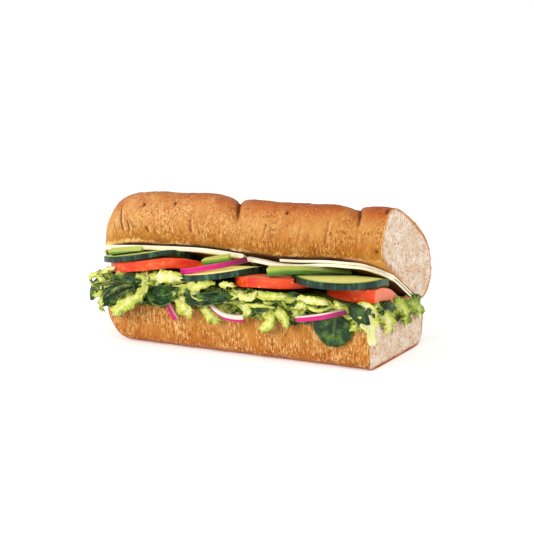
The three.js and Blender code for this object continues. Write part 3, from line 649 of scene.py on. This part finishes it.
def ringOf(paint):  # distance from the middle and the angle round it
    flat = paint.uv()
    x, y = paint.axis(flat, "X"), paint.axis(flat, "Y")
    return (x * x + y * y) ** 0.5, x.sum("ARCTAN2", y, x)


def cucumberMaterial():
    paint = Paint("cucumber", Specular_IOR_Level=0.3)
    here = paint.place()
    ring, angle = ringOf(paint)
    skin = paint.step(ring, 0.955, 0.975)
    ribs = paint.grain(paint.place((1, 1, 0.3)), 0.3, 4, 0.75)
    greens = [(0.38, tint(2, 22, 16)), (0.52, tint(16, 56, 40)), (0.66, tint(70, 116, 80))]
    skinColour = paint.ramp(ribs, greens)
    flesh = paint.blend(paint.grain(here, 0.25, 3), tint(240, 232, 118), tint(266, 258, 162))
    flesh = paint.blend(paint.step(ring, 0.82, 0.96), flesh, tint(190, 214, 74))
    watery = paint.step(ring, 0.62, 0.5)
    flesh = paint.blend(watery * 0.6, flesh, tint(240, 242, 112))
    seeds = paint.step((angle * 11).of("SINE"), 0.55, 0.9)
    seeds = seeds * paint.step(ring, 0.2, 0.28) * paint.step(ring, 0.52, 0.44)
    flesh = paint.blend(seeds * 0.8, flesh, tint(254, 250, 200))
    flesh = paint.blend(paint.step(ring, 0.93, 0.96), flesh, tint(120, 176, 40))
    # painted light on a slice's flesh, which would otherwise lie in shade under the cheese and crown
    flesh = paint.blend(paint.mark("paler"), flesh, tint(318, 312, 190))
    colour = paint.blend(skin, flesh, skinColour)
    rough = 0.38 - skin * 0.1 + paint.grain(here, 1.2, 2) * 0.12
    relief = paint.grain(here, 0.7, 3) + seeds * 0.8
    return paint.finish(Base_Color=colour, Roughness=rough, Normal=paint.bump(relief, 0.25, 0.5))


def tomatoMaterial():
    paint = Paint("tomato", Specular_IOR_Level=0.3, Subsurface_Weight=0.15,
                  Subsurface_Radius=(1, 0.25, 0.12), Subsurface_Scale=2 * mm)
    here = paint.place()
    ring, angle = ringOf(paint)
    skin = paint.step(ring, 0.955, 0.975)
    skinColour = paint.ramp(paint.grain(here, 0.1, 3), [(0.35, tint(232, 44, 12)), (0.6, tint(254, 84, 24))])
    # painted highlights: pale streaks up the skin
    highlightStreaks = paint.step(paint.grain(paint.place((0.25, 0.25, 1.2)), 0.6, 3), 0.5, 0.72)
    skinColour = paint.blend(highlightStreaks * 0.5, skinColour, tint(255, 140, 92))
    dots = paint.step(paint.cells(here, 0.4), 0.26, 0.12) * paint.step(paint.grain(here, 0.3, 1), 0.45, 0.55)
    skinColour = paint.blend(dots * 0.75, skinColour, tint(255, 196, 104))
    flesh = paint.blend(paint.grain(here, 0.3, 4), tint(240, 104, 62), tint(252, 150, 108))
    juicy = paint.step((angle * 2.5).of("SINE"), 0.2, 0.5) * paint.step(ring, 0.25, 0.35)
    juicy = juicy * paint.step(ring, 0.82, 0.72)
    flesh = paint.blend(juicy * 0.7, flesh, tint(214, 84, 40))
    colour = paint.blend(skin, flesh, skinColour)
    rough = 0.3 + paint.grain(here, 1, 3) * 0.15
    relief = paint.grain(here, 0.6, 4) * (1 - skin)
    return paint.finish(Base_Color=colour, Roughness=rough, Normal=paint.bump(relief, 0.4, 0.6))


finishes = {"cucumber": cucumberMaterial(), "tomato": tomatoMaterial()}
for node, disc in slices.items():
    kind, place = node.split("_")
    piece = refine(node, kind + "Slice" + place)
    bevel(piece, sliceEdge)
    layRound(piece, disc["at"], disc["radius"])
    fillMark(piece, "paler", disc.get("paler", 0))
    settle(piece, finishes[kind], kind, node)
print("round slices cut")


# Strips, leaves and shreds are all sheets: a grid laid on a curved surface and given a thickness.

def pathOf(points):  # a smooth curve through three points
    start, middle, end = [Vector(point) for point in points]
    bow = middle * 2 - (start + end) / 2

    def at(s):
        return start * (1 - s) ** 2 + bow * 2 * s * (1 - s) + end * s ** 2

    def heading(s):
        return ((bow - start) * 2 * (1 - s) + (end - bow) * 2 * s).normalized()

    return at, heading


def makeSheet(name, surface, steps, lanes, thick, edge=0):
    piece = addMesh(bpy.ops.mesh.primitive_grid_add, x_subdivisions=steps, y_subdivisions=lanes, size=1)
    piece.name = name
    for vertex in piece.data.vertices:
        s, t = vertex.co.x + 0.5, vertex.co.y * 2
        vertex.co = surface(s, t) * mm
    modify(piece, "SOLIDIFY", thickness=thick * mm, offset=0, use_even_offset=False)
    if edge:
        bevel(piece, edge, 50)
    modify(piece, "SUBSURF", levels=1, render_levels=1)
    only(piece)
    bpy.ops.object.mode_set(mode="EDIT")
    bpy.ops.mesh.select_all(action="SELECT")
    bpy.ops.mesh.normals_make_consistent(inside=False)
    bpy.ops.object.mode_set(mode="OBJECT")
    return piece


# Pepper and onion strips.

strips = {
    "pepper_left": {
        "path": [(-64.5, -28.6, 44.5), (-56, -29, 45.9), (-47, -28, 47.1)],
        "tall": (3, 1.6), "thick": 4,
    },
    "pepper_mid": {
        "path": [(-15.5, -22, 43), (-8.5, -22.6, 44.6), (-1, -21.6, 46.2)],
        "tall": (3.2, 3.2), "thick": 3.6,
    },
    "pepper_right": {
        "path": [(24.5, -31, 43.7), (42, -25.5, 44.7), (60, -14, 43.4)],
        "tall": (4.2, 1.4), "thick": 4.4, "darker": 1,
    },
    "onion_upper": {
        "path": [(-23.5, -30.5, 39), (-8, -30.5, 42.3), (9.5, -23.6, 46.8)],
        "tall": (2.8, 2.6), "thick": 1.5, "skin": 1.02, "darker": 0.85,
    },
    "onion_hanging": {
        "path": [(-30.8, -32.6, 25.5), (-28, -33.6, 20.5), (-25, -33.4, 15.6)],
        "tall": (2.8, 2.8), "thick": 1.1, "skin": 0.93,
    },
    "onion_arc": {
        "path": [(-6, -33.4, 25.8), (2.4, -36.3, 21.2), (13, -34.6, 20.3)],
        "tall": (1.8, 3.6), "thick": 1.6, "skin": 0.36,
    },
    "onion_low": {
        "path": [(41.8, -36, 23.6), (54.3, -38.4, 26.3), (68, -37.6, 30.2)],
        "tall": (2.7, 3), "thick": 1.6, "skin": 0.8, "darker": 0.75,
    },
}
stripShape = {"steps": 24, "lanes": 4, "edge": 0.25, "wobble": 0.15, "bulge": 0.25}


def stripSurface(strip):
    at, heading = pathOf(strip["path"])

    def surface(s, t):
        ahead = heading(s)
        side = Vector((-ahead.y, ahead.x, 0)).normalized()
        up = ahead.cross(side)
        if up.z < 0:
            up = -up
        tall = lerp(strip["tall"][0], strip["tall"][1], s)
        wobble = stripShape["wobble"] * noise.noise(at(s) / 4)
        return at(s) + up * (t * tall / 2 + wobble) + side * stripShape["bulge"] * (1 - t * t)

    return surface


def pepperMaterial():
    paint = Paint("pepper", Specular_IOR_Level=0.3)
    here = paint.place()
    flat = paint.uv()
    # painted shade toward the far end of a strip, where it runs into the shade under the cheese
    darker = paint.mark("darker") * paint.axis(flat, "X")
    rise = paint.axis(flat, "Y") + (paint.grain(here, 0.3, 2) - 0.5) * 0.3 - darker
    greens = [(0.15, tint(64, 110, 26)), (0.55, tint(118, 162, 40)), (0.95, tint(196, 208, 84))]
    colour = paint.ramp(rise, greens)
    colour = paint.blend(paint.step(paint.facing("Z"), 0.5, 0.9) * 0.7, colour, tint(204, 210, 104))
    colour = paint.blend(paint.step(darker, 0.35, 0.85) * 0.8, colour, tint(36, 62, 18))
    rough = 0.28 + paint.grain(here, 1, 2) * 0.15
    relief = paint.bump(paint.grain(here, 0.8, 3), 0.2, 0.4)
    return paint.finish(Base_Color=colour, Roughness=rough, Normal=relief)


def onionMaterial():
    paint = Paint("onion", Specular_IOR_Level=0.25)
    flat = paint.uv()
    fibres = paint.grain(paint.uv((3, 24, 1)), 1, 3)
    purples = [(0.3, tint(188, 18, 100)), (0.6, tint(226, 34, 134)), (0.8, tint(238, 92, 164))]
    skin = paint.ramp(fibres, purples)
    pale = paint.step(paint.axis(flat, "Y") - paint.mark("skin"), -0.04, 0.08)
    colour = paint.blend(pale, skin, tint(252, 232, 214))
    # painted shade toward the far end of an onion strip
    shaded = paint.step(paint.axis(flat, "X"), 0.5, 1) * paint.mark("darker")
    colour = paint.blend(shaded, colour, tint(84, 14, 44))
    relief = paint.bump(fibres, 0.15, 0.4)
    return paint.finish(Base_Color=colour, Roughness=0.3 + pale * 0.1, Normal=relief)


finishes.update(pepper=pepperMaterial(), onion=onionMaterial())
for node, strip in strips.items():
    kind, place = node.split("_")
    steps, lanes, edge = stripShape["steps"], stripShape["lanes"], stripShape["edge"]
    piece = makeSheet(kind + "Strip" + place, stripSurface(strip), steps, lanes, strip["thick"], edge)
    fillMark(piece, "skin", strip.get("skin", 1))
    fillMark(piece, "darker", strip.get("darker", 0))
    settle(piece, finishes[kind], kind, node)
print("strips laid")


# Spinach leaves.

leaves = {
    "spinach_tip": {
        "path": [(-66, -24, 30.5), (-74, -24, 27), (-80.6, -22, 17)],
        "width": 7, "cup": 1.2,
    },
    "spinach_upper": {
        "path": [(-43, -31.2, 33), (-56, -33.5, 30.4), (-68, -31.6, 25.4)],
        "width": 9, "cup": 1.6,
    },
    "spinach_fan": {
        "path": [(-45, -34.6, 27.5), (-56, -36.4, 25), (-66.5, -33.4, 19.2)],
        "width": 8.5, "cup": -1.4,
    },
    "spinach_curled": {
        "path": [(-24.4, -33, 31), (-31, -37, 27.6), (-39, -34.6, 30.4)],
        "width": 10, "cup": -3.2,
    },
    "spinach_broad": {
        "path": [(-9, -31.4, 29.6), (-14, -33.4, 28.4), (-20, -32.4, 23.4)],
        "width": 11, "cup": 1.8,
    },
    "spinach_long": {
        "path": [(8, -32.6, 30.8), (-5, -37.4, 28.6), (-18, -36.6, 26.2)],
        "width": 6.4, "cup": -1,
    },
    "spinach_slim": {
        "path": [(29.5, -32.4, 29.2), (20, -35, 27.2), (9.8, -33.4, 24.4)],
        "width": 6.4, "cup": 1.2,
    },
    "spinach_small": {
        "path": [(42, -31.4, 33.6), (37.5, -33.6, 32), (33, -32.6, 30)],
        "width": 7, "cup": -1,
    },
    "spinach_round": {
        "path": [(62.5, -32.5, 28), (61, -33.8, 24), (59.6, -33.6, 11.6)],
        "width": 22.6, "cup": 1.4, "roundness": 0.42, "blunt": 0.004,
    },
    "spinach_corner": {
        "path": [(67, -31.2, 32.2), (73, -34.6, 29.4), (77.4, -32.4, 23.4)],
        "width": 7.4, "cup": 1.4,
    },
    "spinach_cut": {
        "path": [(77.9, -19, 25.8), (79.2, -12, 28), (78.9, -4, 25.8)],
        "width": 5, "cup": 0.6, "look": (0.95, -0.3, 0.1),
    },
}
leafShape = {
    "thick": 0.35,
    "look": (0.3, -0.9, 0.25),  # where a leaf faces
    "roundness": 0.62,
    "blunt": 0.03,
    "veins": 7,
    "veinSpread": 1.3,
    "pucker": 0.42,
    "wave": 1.3,
    "ruffle": 0.7,
    "rib": 0.3,
    "uneven": 0.12,
    "small": (30, 14),  # steps along and across
    "large": (36, 32),
}


def leafSurface(leaf):
    at, heading = pathOf(leaf["path"])
    look = Vector(leaf.get("look", leafShape["look"])).normalized()
    start = Vector(leaf["path"][0])

    def surface(s, t):
        ahead = heading(s)
        side = ahead.cross(look).normalized()
        face = side.cross(ahead).normalized()
        blunt = leaf.get("blunt", leafShape["blunt"])
        roundness = leaf.get("roundness", leafShape["roundness"])
        oval = math.sin(math.pi * lerp(blunt, 1 - blunt, s)) ** roundness
        wave = noise.noise(start + Vector((s * 3, t * 1.2, 0)))
        vein = abs(math.sin(math.pi * leafShape["veins"] * (s - 0.35 * abs(t)) / leafShape["veinSpread"]))
        pucker = leafShape["pucker"] * (vein ** 0.6 - 0.6) * smooth((abs(t) - 0.06) / 0.2)
        rib = leafShape["rib"] * math.exp(-(t / 0.07) ** 2)
        ruffle = leafShape["ruffle"] * noise.noise(start + Vector((s * 9, t * 1.5, 8))) * t * t
        lift = leaf["cup"] * (0.5 - t * t) * oval + leafShape["wave"] * wave * (0.3 + t * t)
        lift = lift + ruffle + pucker - rib
        edge = 1 + leafShape["uneven"] * noise.noise(start + Vector((s * 6, t, 3)))
        return at(s) + side * t * oval * edge * leaf["width"] / 2 + face * lift

    return surface


def leafMaterial():
    paint = Paint("spinach", Specular_IOR_Level=0.35)
    here = paint.place()
    flat = paint.uv()
    s, t = paint.axis(flat, "X"), (paint.axis(flat, "Y") - 0.5) * 2
    away = t.of("ABSOLUTE")
    wave = (s - away * 0.35) * (math.pi * leafShape["veins"] / leafShape["veinSpread"])
    vein = wave.of("SINE").of("ABSOLUTE")
    veins = paint.step(vein, 0.22, 0.02) * paint.step(away, 0.9, 0.3)
    rib = paint.step(away, 0.09, 0.02)
    greens = [(0.3, tint(0, 24, 0)), (0.5, tint(18, 62, 6)), (0.7, tint(92, 130, 40))]
    colour = paint.ramp(paint.grain(here, 0.22, 4), greens)
    colour = paint.blend(veins * 0.22, colour, tint(126, 164, 78))
    colour = paint.blend(paint.step(away, 0.93, 1) * 0.4, colour, tint(112, 146, 66))
    colour = paint.blend(rib * 0.2, colour, tint(150, 182, 94))
    rough = 0.2 + paint.grain(here, 0.8, 3) * 0.2
    blisters = paint.grain(here, 0.5, 3) + veins * -0.3
    return paint.finish(Base_Color=colour, Roughness=rough, Normal=paint.bump(blisters, 1.5, 0.9))


spinach = leafMaterial()
for node, leaf in leaves.items():
    steps, lanes = leafShape["large"] if leaf["width"] > 15 else leafShape["small"]
    piece = makeSheet("spinachLeaf" + node.split("_")[1], leafSurface(leaf), steps, lanes, leafShape["thick"])
    settle(piece, spinach, "spinach", node)
print("leaves laid")


# Lettuce: a crinkled core, and shreds that stand out of it.

heap = {
    "from": -76,
    "to": 75.4,
    "frontY": -29.6,
    "backY": 32,
    "middleY": 2.5,
    "halfDepth": 32.1,
    "endStart": -54,
    "endPower": 2.4,
    "tops": [
        (-76, 32.4), (-65, 33.4), (-34, 38.4), (-22, 36.6), (-11, 33.2), (42, 33.4), (52, 31), (77, 30.8),
    ],
    "deepFront": 13.4,
    "deepBack": 4.1,
    "deepFrom": 6,
    "deepTo": 24,
    "least": 1.2,
    "cuts": 44,
    "inset": 0.4,
    "crinkle": 0.9,
}

shreds = {
    "thick": 0.4,
    "steps": 24,
    "lanes": 5,
    "uneven": 0.35,
    "tornBelow": 3.4,  # shreds up to this width are torn most
    "crinkle": 0.8,
    "fineCrinkle": 0.22,
    "frill": 0.18,
    "teeth": 2.2,
    "front": {"count": 260, "along": (-74, 76), "reach": (-76, 78), "turn": 0.5},
    "frontHeight": {"seat": 23.5, "lowest": 20.5},
    # inner shreds get darker tones than outer ones, as painted shade deeper in the heap
    "outer": {"length": (9, 18), "out": (2.2, 4.8), "tone": (0.72, 0.14), "width": (1.5, 3.6)},
    "inner": {"length": (7, 15), "out": (0.3, 2.4), "tone": (0.3, 0.2), "width": (2.4, 5.5)},
    "cut": {"count": 60, "across": (-28, 24), "out": (0.2, 1.8), "tone": (0.45, 0.25), "width": (2.4, 5.5)},
    "cutSeat": 75,
    "left": {"count": 46, "across": (-24, 26), "out": (0, 2.6), "tone": (0.55, 0.25), "width": (2.4, 6)},
    "leftEnd": {"tip": -74.5, "halfDepth": 32, "length": 16},
    "back": {"count": 60, "along": (-62, 74), "out": (0.5, 4.5), "tone": (0.5, 0.25), "width": (2.4, 5)},
    "shownWidth": 0.9,
    "shown": [  # a path of three points, width, tone from dark green to pale that is partly the leaf's own colour and partly painted shade, and where it faces
        ([(-40, -33.5, 29.6), (-49.5, -38.4, 22.4), (-59.5, -34.4, 14.2)], 8, 0.6, (-0.1, -0.9, 0.3)),
        ([(-71, -27, 31), (-67.5, -31, 34.6), (-61, -31.6, 38)], 3.2, 0.8, (-0.3, -0.8, 0.4)),
        ([(-43, -31, 37.5), (-40.3, -36.4, 31.3), (-44.5, -34.5, 25.5)], 3.6, 0.85, (0.3, -0.8, 0.3)),
        ([(-37, -32, 36), (-29, -37, 37.4), (-21.5, -33.5, 36.6)], 7, 0.84, (0.1, -0.8, 0.55)),
        ([(-17, -32, 35.4), (-12.3, -37, 33.6), (-4, -33, 36.2)], 5, 0.72, (0, -0.8, 0.5)),
        ([(-14, -32, 34), (-12, -36.4, 30), (-9, -34, 27)], 4.6, 0.82, (0.3, -0.9, 0.2)),
        ([(0, -31.5, 35), (3.3, -35, 36.4), (6.6, -33, 35.2)], 3.8, 0.8, (0.2, -0.8, 0.6)),
        ([(-22.5, -31, 26.5), (-18.5, -35.4, 22.6), (-15.5, -33.4, 19.3)], 8, 0.66, (0.1, -0.9, 0.3)),
        ([(-10, -30.8, 25.5), (-5.5, -35.4, 21), (0, -33.2, 17.6)], 7.5, 0.58, (0.1, -0.9, 0.3)),
        ([(8.8, -31.5, 33.6), (16.3, -37.5, 31.4), (20, -33.5, 34.6)], 4.8, 0.8, (0, -0.7, 0.7)),
        ([(8, -32, 27.4), (17.4, -38, 24.8), (12, -34, 22.4)], 4.4, 0.88, (0, -0.7, 0.6)),
        ([(19, -32, 32.2), (27, -37, 33.4), (37.6, -33, 32.8)], 4.2, 0.72, (0, -0.8, 0.5)),
        ([(22.7, -30.8, 26), (28.1, -35.8, 21.4), (22.2, -33.2, 15.6)], 6.5, 0.62, (0, -0.9, 0.3)),
        ([(27, -30.8, 26), (35, -36, 24), (35.5, -33.4, 18.2)], 6, 0.6, (0.2, -0.9, 0.3)),
        ([(41, -31.5, 32.6), (49, -36.5, 33.6), (57, -33, 31.6)], 4.4, 0.85, (0, -0.8, 0.5)),
        ([(37.6, -32, 28.5), (45.5, -36.4, 30), (43, -33.6, 26)], 4.6, 0.76, (0, -0.8, 0.5)),
        ([(58.4, -31.5, 32.4), (63.6, -35.5, 31.8), (68.7, -33, 29.4)], 3.6, 0.72, (0.2, -0.8, 0.5)),
        ([(71, -29, 30), (77.8, -32.6, 27.6), (79, -29.6, 14.2)], 10, 0.94, (0.6, -0.75, 0.2)),
        ([(74, -22, 24.6), (79.4, -16, 23.4), (78.6, -12, 16)], 8.5, 0.72, (0.95, -0.3, 0.1)),
        ([(74, -6, 26.4), (79.8, 3, 24.6), (78.6, 9, 15.4)], 10, 0.52, (0.95, -0.2, 0.2)),
        ([(74, 12, 24), (79, 20, 23.4), (78.2, 27, 15.4)], 9, 0.42, (0.95, 0.1, 0.2)),
        ([(-47, -35, 30.6), (-56, -38, 28.4), (-65, -35.5, 22)], 2, 0.02, (-0.1, -0.9, 0.3)),
        ([(-46.5, -35.5, 28.6), (-53, -38.4, 25), (-60.5, -35.5, 19)], 1.8, 0.12, (-0.1, -0.9, 0.3)),
        ([(-50, -34, 31.8), (-60, -37, 31), (-69, -33.5, 27)], 1.8, -0.04, (-0.1, -0.9, 0.3)),
        ([(-68, -28, 32.4), (-74, -29.6, 31.6), (-78, -26, 27.4)], 3.2, 0.74, (-0.4, -0.8, 0.3)),
        ([(-63, -30, 24), (-67, -33.4, 20), (-68, -31, 14.5)], 3, 0.62, (-0.1, -0.9, 0.3)),
        ([(-34, -34, 31), (-37.6, -38.2, 33.4), (-33, -38, 34.6)], 1.8, 0.55, (0, -0.9, 0.3)),
        ([(13, -34, 26.6), (21, -38.4, 28.6), (29, -35, 27.4)], 2.2, 0.6, (0, -0.9, 0.4)),
        ([(46, -34, 31), (53, -38, 29.6), (61, -36, 31.6)], 2, 0.5, (0, -0.9, 0.4)),
    ],
}


def heapTop(x, y):
    back = smooth((y - heap["deepFrom"]) / (heap["deepTo"] - heap["deepFrom"]))
    under = along(crown["edges"], x) - math.tan(crown["pitch"]) * (y - crown["edgeY"])
    free = under - lerp(heap["deepFront"], heap["deepBack"], back)
    return max(heelTop(y) + heap["least"], min(along(heap["tops"], x), free))


def endWidth(x):
    share = within((heap["endStart"] - x) / (heap["endStart"] - heap["from"]), 0, 1)
    return max((1 - share ** heap["endPower"]) ** (1 / heap["endPower"]), 0.2)


def makeCore():
    core = addMesh(bpy.ops.mesh.primitive_cube_add, size=1)
    core.name = "lettuceCore"
    bpy.ops.object.mode_set(mode="EDIT")
    bpy.ops.mesh.select_all(action="SELECT")
    bpy.ops.mesh.subdivide(number_cuts=heap["cuts"])
    bpy.ops.object.mode_set(mode="OBJECT")
    for vertex in core.data.vertices:
        x = lerp(heap["from"], heap["to"], vertex.co.x + 0.5)
        full = lerp(heap["frontY"], heap["backY"], vertex.co.y + 0.5)
        y = heap["middleY"] + (full - heap["middleY"]) * endWidth(x)
        z = lerp(heelTop(full) + heap["inset"], heapTop(x, full) - heap["inset"], vertex.co.z + 0.5)
        vertex.co = Vector((x, y, z)) * mm
    rough = heap["crinkle"]
    carve(core, lambda point, normal: (rough * noise.noise(point / 2.2) * (1 - abs(normal.z)), ()))
    # the core gets the darkest tone, as painted shade between the shreds
    fillMark(core, "tone", 0)
    return core


def shredSurface(path, width, look):
    at, heading = pathOf(path)
    look = look.normalized()
    phase, frills, twist = dice.uniform(0, 6), dice.uniform(2.5, 5.5), dice.uniform(-1.3, 1.3)
    cup, curl = dice.uniform(-1, 1.2), dice.uniform(0.3, 1)
    seat = Vector((dice.uniform(0, 99), dice.uniform(0, 99), 0))

    def surface(s, t):
        ahead = heading(s)
        flat = ahead.cross(look).normalized()
        upright = flat.cross(ahead).normalized()
        angle = twist * (s - 0.4)
        side = flat * math.cos(angle) + upright * math.sin(angle)
        face = upright * math.cos(angle) - flat * math.sin(angle)
        torn = 1 + shreds["uneven"] * noise.noise(seat + Vector((s * 3, t, 7)))
        tears = (0.2 + 0.3 * s * s) * min(shreds["tornBelow"] / width, 1)
        torn += tears * noise.noise(seat + Vector((s * 15, t, 2)))
        taper = lerp(0.3, 1, math.sin(math.pi * lerp(0.1, 0.94, s)) ** 0.7)
        crinkle = shreds["crinkle"] * noise.noise(seat + Vector((s * 3, t * 0.8, 0)))
        crinkle += shreds["fineCrinkle"] * noise.noise(seat + Vector((s * 10, t * 2, 4)))
        frill = shreds["frill"] * width * math.sin(s * math.pi * 2 * frills + phase + t) * t * abs(t)
        bend = curl * math.sin(s * math.pi * 2.2 + phase)
        teeth = shreds["teeth"] * s ** 4 * noise.noise(seat + Vector((t * 2.4, 5, 5)))
        spread = side * t * torn * taper * width / 2
        return at(s) + ahead * teeth + spread + face * (crinkle + frill + bend + cup * t * t)

    return surface


def makeShred(template, surface, tone):
    mesh = template.data.copy()
    for vertex in mesh.vertices:
        vertex.co = surface(vertex.co.x + 0.5, vertex.co.y * 2) * mm
    shred = bpy.data.objects.new("shred", mesh)
    bpy.context.scene.collection.objects.link(shred)
    fillMark(shred, "tone", tone)
    return shred


def joinShreds(name, made):
    bpy.ops.object.select_all(action="DESELECT")
    for shred in made:
        shred.select_set(True)
    bpy.context.view_layer.objects.active = made[0]
    bpy.ops.object.join()
    piece = bpy.context.object
    piece.name = name
    modify(piece, "SOLIDIFY", thickness=shreds["thick"] * mm, offset=0)
    return piece


def lettuceMaterial():
    paint = Paint("lettuce", Specular_IOR_Level=0.25, Subsurface_Weight=0.35,
                  Subsurface_Radius=(0.7, 1, 0.2), Subsurface_Scale=2 * mm)
    here = paint.place()
    flat = paint.uv()
    across = paint.axis(flat, "Y") - 0.5
    edge = across.of("ABSOLUTE") * 2
    # the tone mark is partly the leaf's own colour and partly painted shade deep in the heap
    tone = paint.mark("tone") + 0.12 + across * 0.25 - edge * edge * 0.3
    tone = tone + (paint.grain(here, 0.3, 4) - 0.5) * 1.1 + (paint.grain(here, 0.85, 3, 0.7) - 0.5) * 0.8
    colour = paint.ramp(tone, [
        (0, tint(34, 56, 10)),
        (0.2, tint(80, 108, 26)),
        (0.42, tint(144, 166, 48)),
        (0.62, tint(192, 204, 70)),
        (0.84, tint(230, 230, 108)),
        (1, tint(248, 248, 184)),
    ])
    veins = paint.step(paint.cells(paint.uv((3, 2, 1)), 2, "DISTANCE_TO_EDGE"), 0.06, 0) * 0.35
    rib = paint.step(edge, 0.16, 0.04) * paint.step(paint.mark("tone"), 0.3, 0.7) * 0.6
    colour = paint.blend(veins + rib, colour, tint(244, 244, 190))
    rough = 0.4 + paint.grain(here, 0.6, 2) * 0.15
    relief = paint.bump(paint.grain(here, 0.8, 3), 0.25, 0.5)
    return paint.finish(Base_Color=colour, Roughness=rough, Normal=relief)


def drawToneAndShade(kind):
    return within(dice.gauss(*kind["tone"]), 0.05, 1)


def shownPaths():
    for path, width, tone, look in shreds["shown"]:
        yield path, width * shreds["shownWidth"], Vector(look), tone


def frontPaths():  # every fourth shred stands out in front of the others
    front, height = shreds["front"], shreds["frontHeight"]
    for count in range(front["count"]):
        kind = shreds["outer"] if count % 4 == 0 else shreds["inner"]
        x = dice.uniform(*front["along"])
        ceiling = along(heap["tops"], x) - 1
        z = lerp(height["seat"], ceiling, dice.random())
        length = dice.uniform(*kind["length"])
        turn = dice.gauss(0, front["turn"])
        dx, dz = length * math.cos(turn) * dice.choice((-1, 1)), length * math.sin(turn)
        dz = within(dz, height["lowest"] - z, ceiling - z)
        out = dice.uniform(*kind["out"])
        base = heap["middleY"] - heap["halfDepth"] * endWidth(max(x, heap["from"]))
        ends = [base + dice.uniform(0, 1.5), base - out, base - dice.uniform(-0.5, out * 0.7)]
        dx = within(dx, front["reach"][0] - x, front["reach"][1] - x)
        middle = (x + dx * 0.5, ends[1], z + dz * 0.5 + dice.uniform(0, 1.5))
        tilt = Vector((dice.uniform(-0.7, 0.7), -0.8, dice.uniform(-0.5, 1.1)))
        tone = drawToneAndShade(kind)
        yield [(x, ends[0], z), middle, (x + dx, ends[2], z + dz)], dice.uniform(*kind["width"]), tilt, tone


def cutPaths():
    kind, seat, face = shreds["cut"], shreds["cutSeat"], heap["to"]
    for _ in range(kind["count"]):
        y = dice.uniform(*kind["across"])
        top = heapTop(seat, y)
        z = lerp(heelTop(y) + 0.5, top - 0.5, dice.random())
        dy, dz = dice.uniform(3, 10) * dice.choice((-1, 1)), dice.uniform(-3, 3)
        dz = within(dz, heelTop(y) - 1 - z, top - z)
        out = dice.uniform(*kind["out"])
        path = [(seat, y, z), (face + out, y + dy / 2, z + dz / 2), (face + out * 0.7, y + dy, z + dz)]
        tilt = Vector((1, dice.uniform(-0.6, 0.6), dice.uniform(-0.3, 0.9)))
        yield path, dice.uniform(*kind["width"]), tilt, within(dice.gauss(*kind["tone"]), 0, 1)


def leftPaths():
    kind, end = shreds["left"], shreds["leftEnd"]
    for _ in range(kind["count"]):
        y = dice.uniform(*kind["across"])
        share = abs(y - heap["middleY"]) / end["halfDepth"]
        x = end["tip"] + share ** heap["endPower"] * end["length"]
        z = lerp(heelTop(y) + 0.5, heapTop(-72, y), dice.random())
        out = dice.uniform(*kind["out"])
        middle = (x - out, y + dice.uniform(-4, 4), z + 1)
        path = [(x + 3, y, z), middle, (x - out, y + dice.uniform(-8, 8), z + dice.uniform(-3, 3))]
        tilt = Vector((-0.8, dice.uniform(-0.6, 0.2), dice.uniform(-0.2, 0.8)))
        yield path, dice.uniform(*kind["width"]), tilt, drawToneAndShade(kind)


def backPaths():
    kind = shreds["back"]
    for _ in range(kind["count"]):
        x = dice.uniform(*kind["along"])
        z = dice.uniform(17.2, 20.5)
        dx = dice.uniform(4, 11) * dice.choice((-1, 1))
        out = dice.uniform(*kind["out"])
        path = [(x, 31, z), (x + dx / 2, 33 + out, z + 0.4), (x + dx, 32.5 + out, z - dice.uniform(0, 3.5))]
        tilt = Vector((0, 0.7, 0.7))
        yield path, dice.uniform(*kind["width"]), tilt, drawToneAndShade(kind)


steps, lanes = shreds["steps"], shreds["lanes"]
template = addMesh(bpy.ops.mesh.primitive_grid_add, x_subdivisions=steps, y_subdivisions=lanes, size=1)
lettuce = lettuceMaterial()
settle(makeCore(), lettuce, "lettuce", "lettuce_heap")
groups = {"Shown": shownPaths, "Front": frontPaths, "Cut": cutPaths, "Left": leftPaths, "Back": backPaths}
for place, paths in groups.items():
    made = [makeShred(template, shredSurface(path, width, look), tone) for path, width, look, tone in paths()]
    settle(joinShreds("lettuceShreds" + place, made), lettuce, "lettuce", "lettuce_heap")
bpy.data.objects.remove(template)
print("lettuce heaped")


# Studio.

def makeFloor():
    floor = addMesh(bpy.ops.mesh.primitive_plane_add, size=studio["floorSize"])
    floor.name = "studioFloor"
    paint = Paint("floor", Roughness=0.7, Specular_IOR_Level=0.2, Emission_Strength=studio["floorGlow"])
    white = (studio["floorColour"],) * 3 + (1,)
    floor.data.materials.append(paint.finish(Base_Color=white, Emission_Color=white))


def turnTo(eye, target):  # the rotation that looks from eye to target
    return (target - eye).to_track_quat("-Z", "Y").to_euler()


def makeLight(name, light):
    bpy.ops.object.light_add(type="AREA", location=light["at"])
    lamp = bpy.context.object
    lamp.name = name
    lamp.data.energy = light["watts"]
    lamp.data.size = light["size"]
    lamp.rotation_euler = turnTo(Vector(light["at"]), Vector(studio["aim"]))


def makeCamera():
    eye, target = Vector(photo["eye"]), Vector(photo["target"])
    bpy.ops.object.camera_add(location=eye, rotation=turnTo(eye, target))
    camera = bpy.context.object
    camera.data.lens = photo["lens"]
    camera.data.sensor_width = photo["sensor"]
    bpy.context.scene.camera = camera


makeFloor()
makeLight("keyLight", studio["key"])
makeLight("sideLight", studio["side"])
makeCamera()
world = bpy.data.worlds.new("studioWorld")
world.use_nodes = True
world.node_tree.nodes["Background"].inputs["Color"].default_value = (1, 1, 1, 1)
world.node_tree.nodes["Background"].inputs["Strength"].default_value = studio["ambient"]
bpy.context.scene.world = world
bpy.context.scene.view_settings.view_transform = "Standard"
print("studio lit")
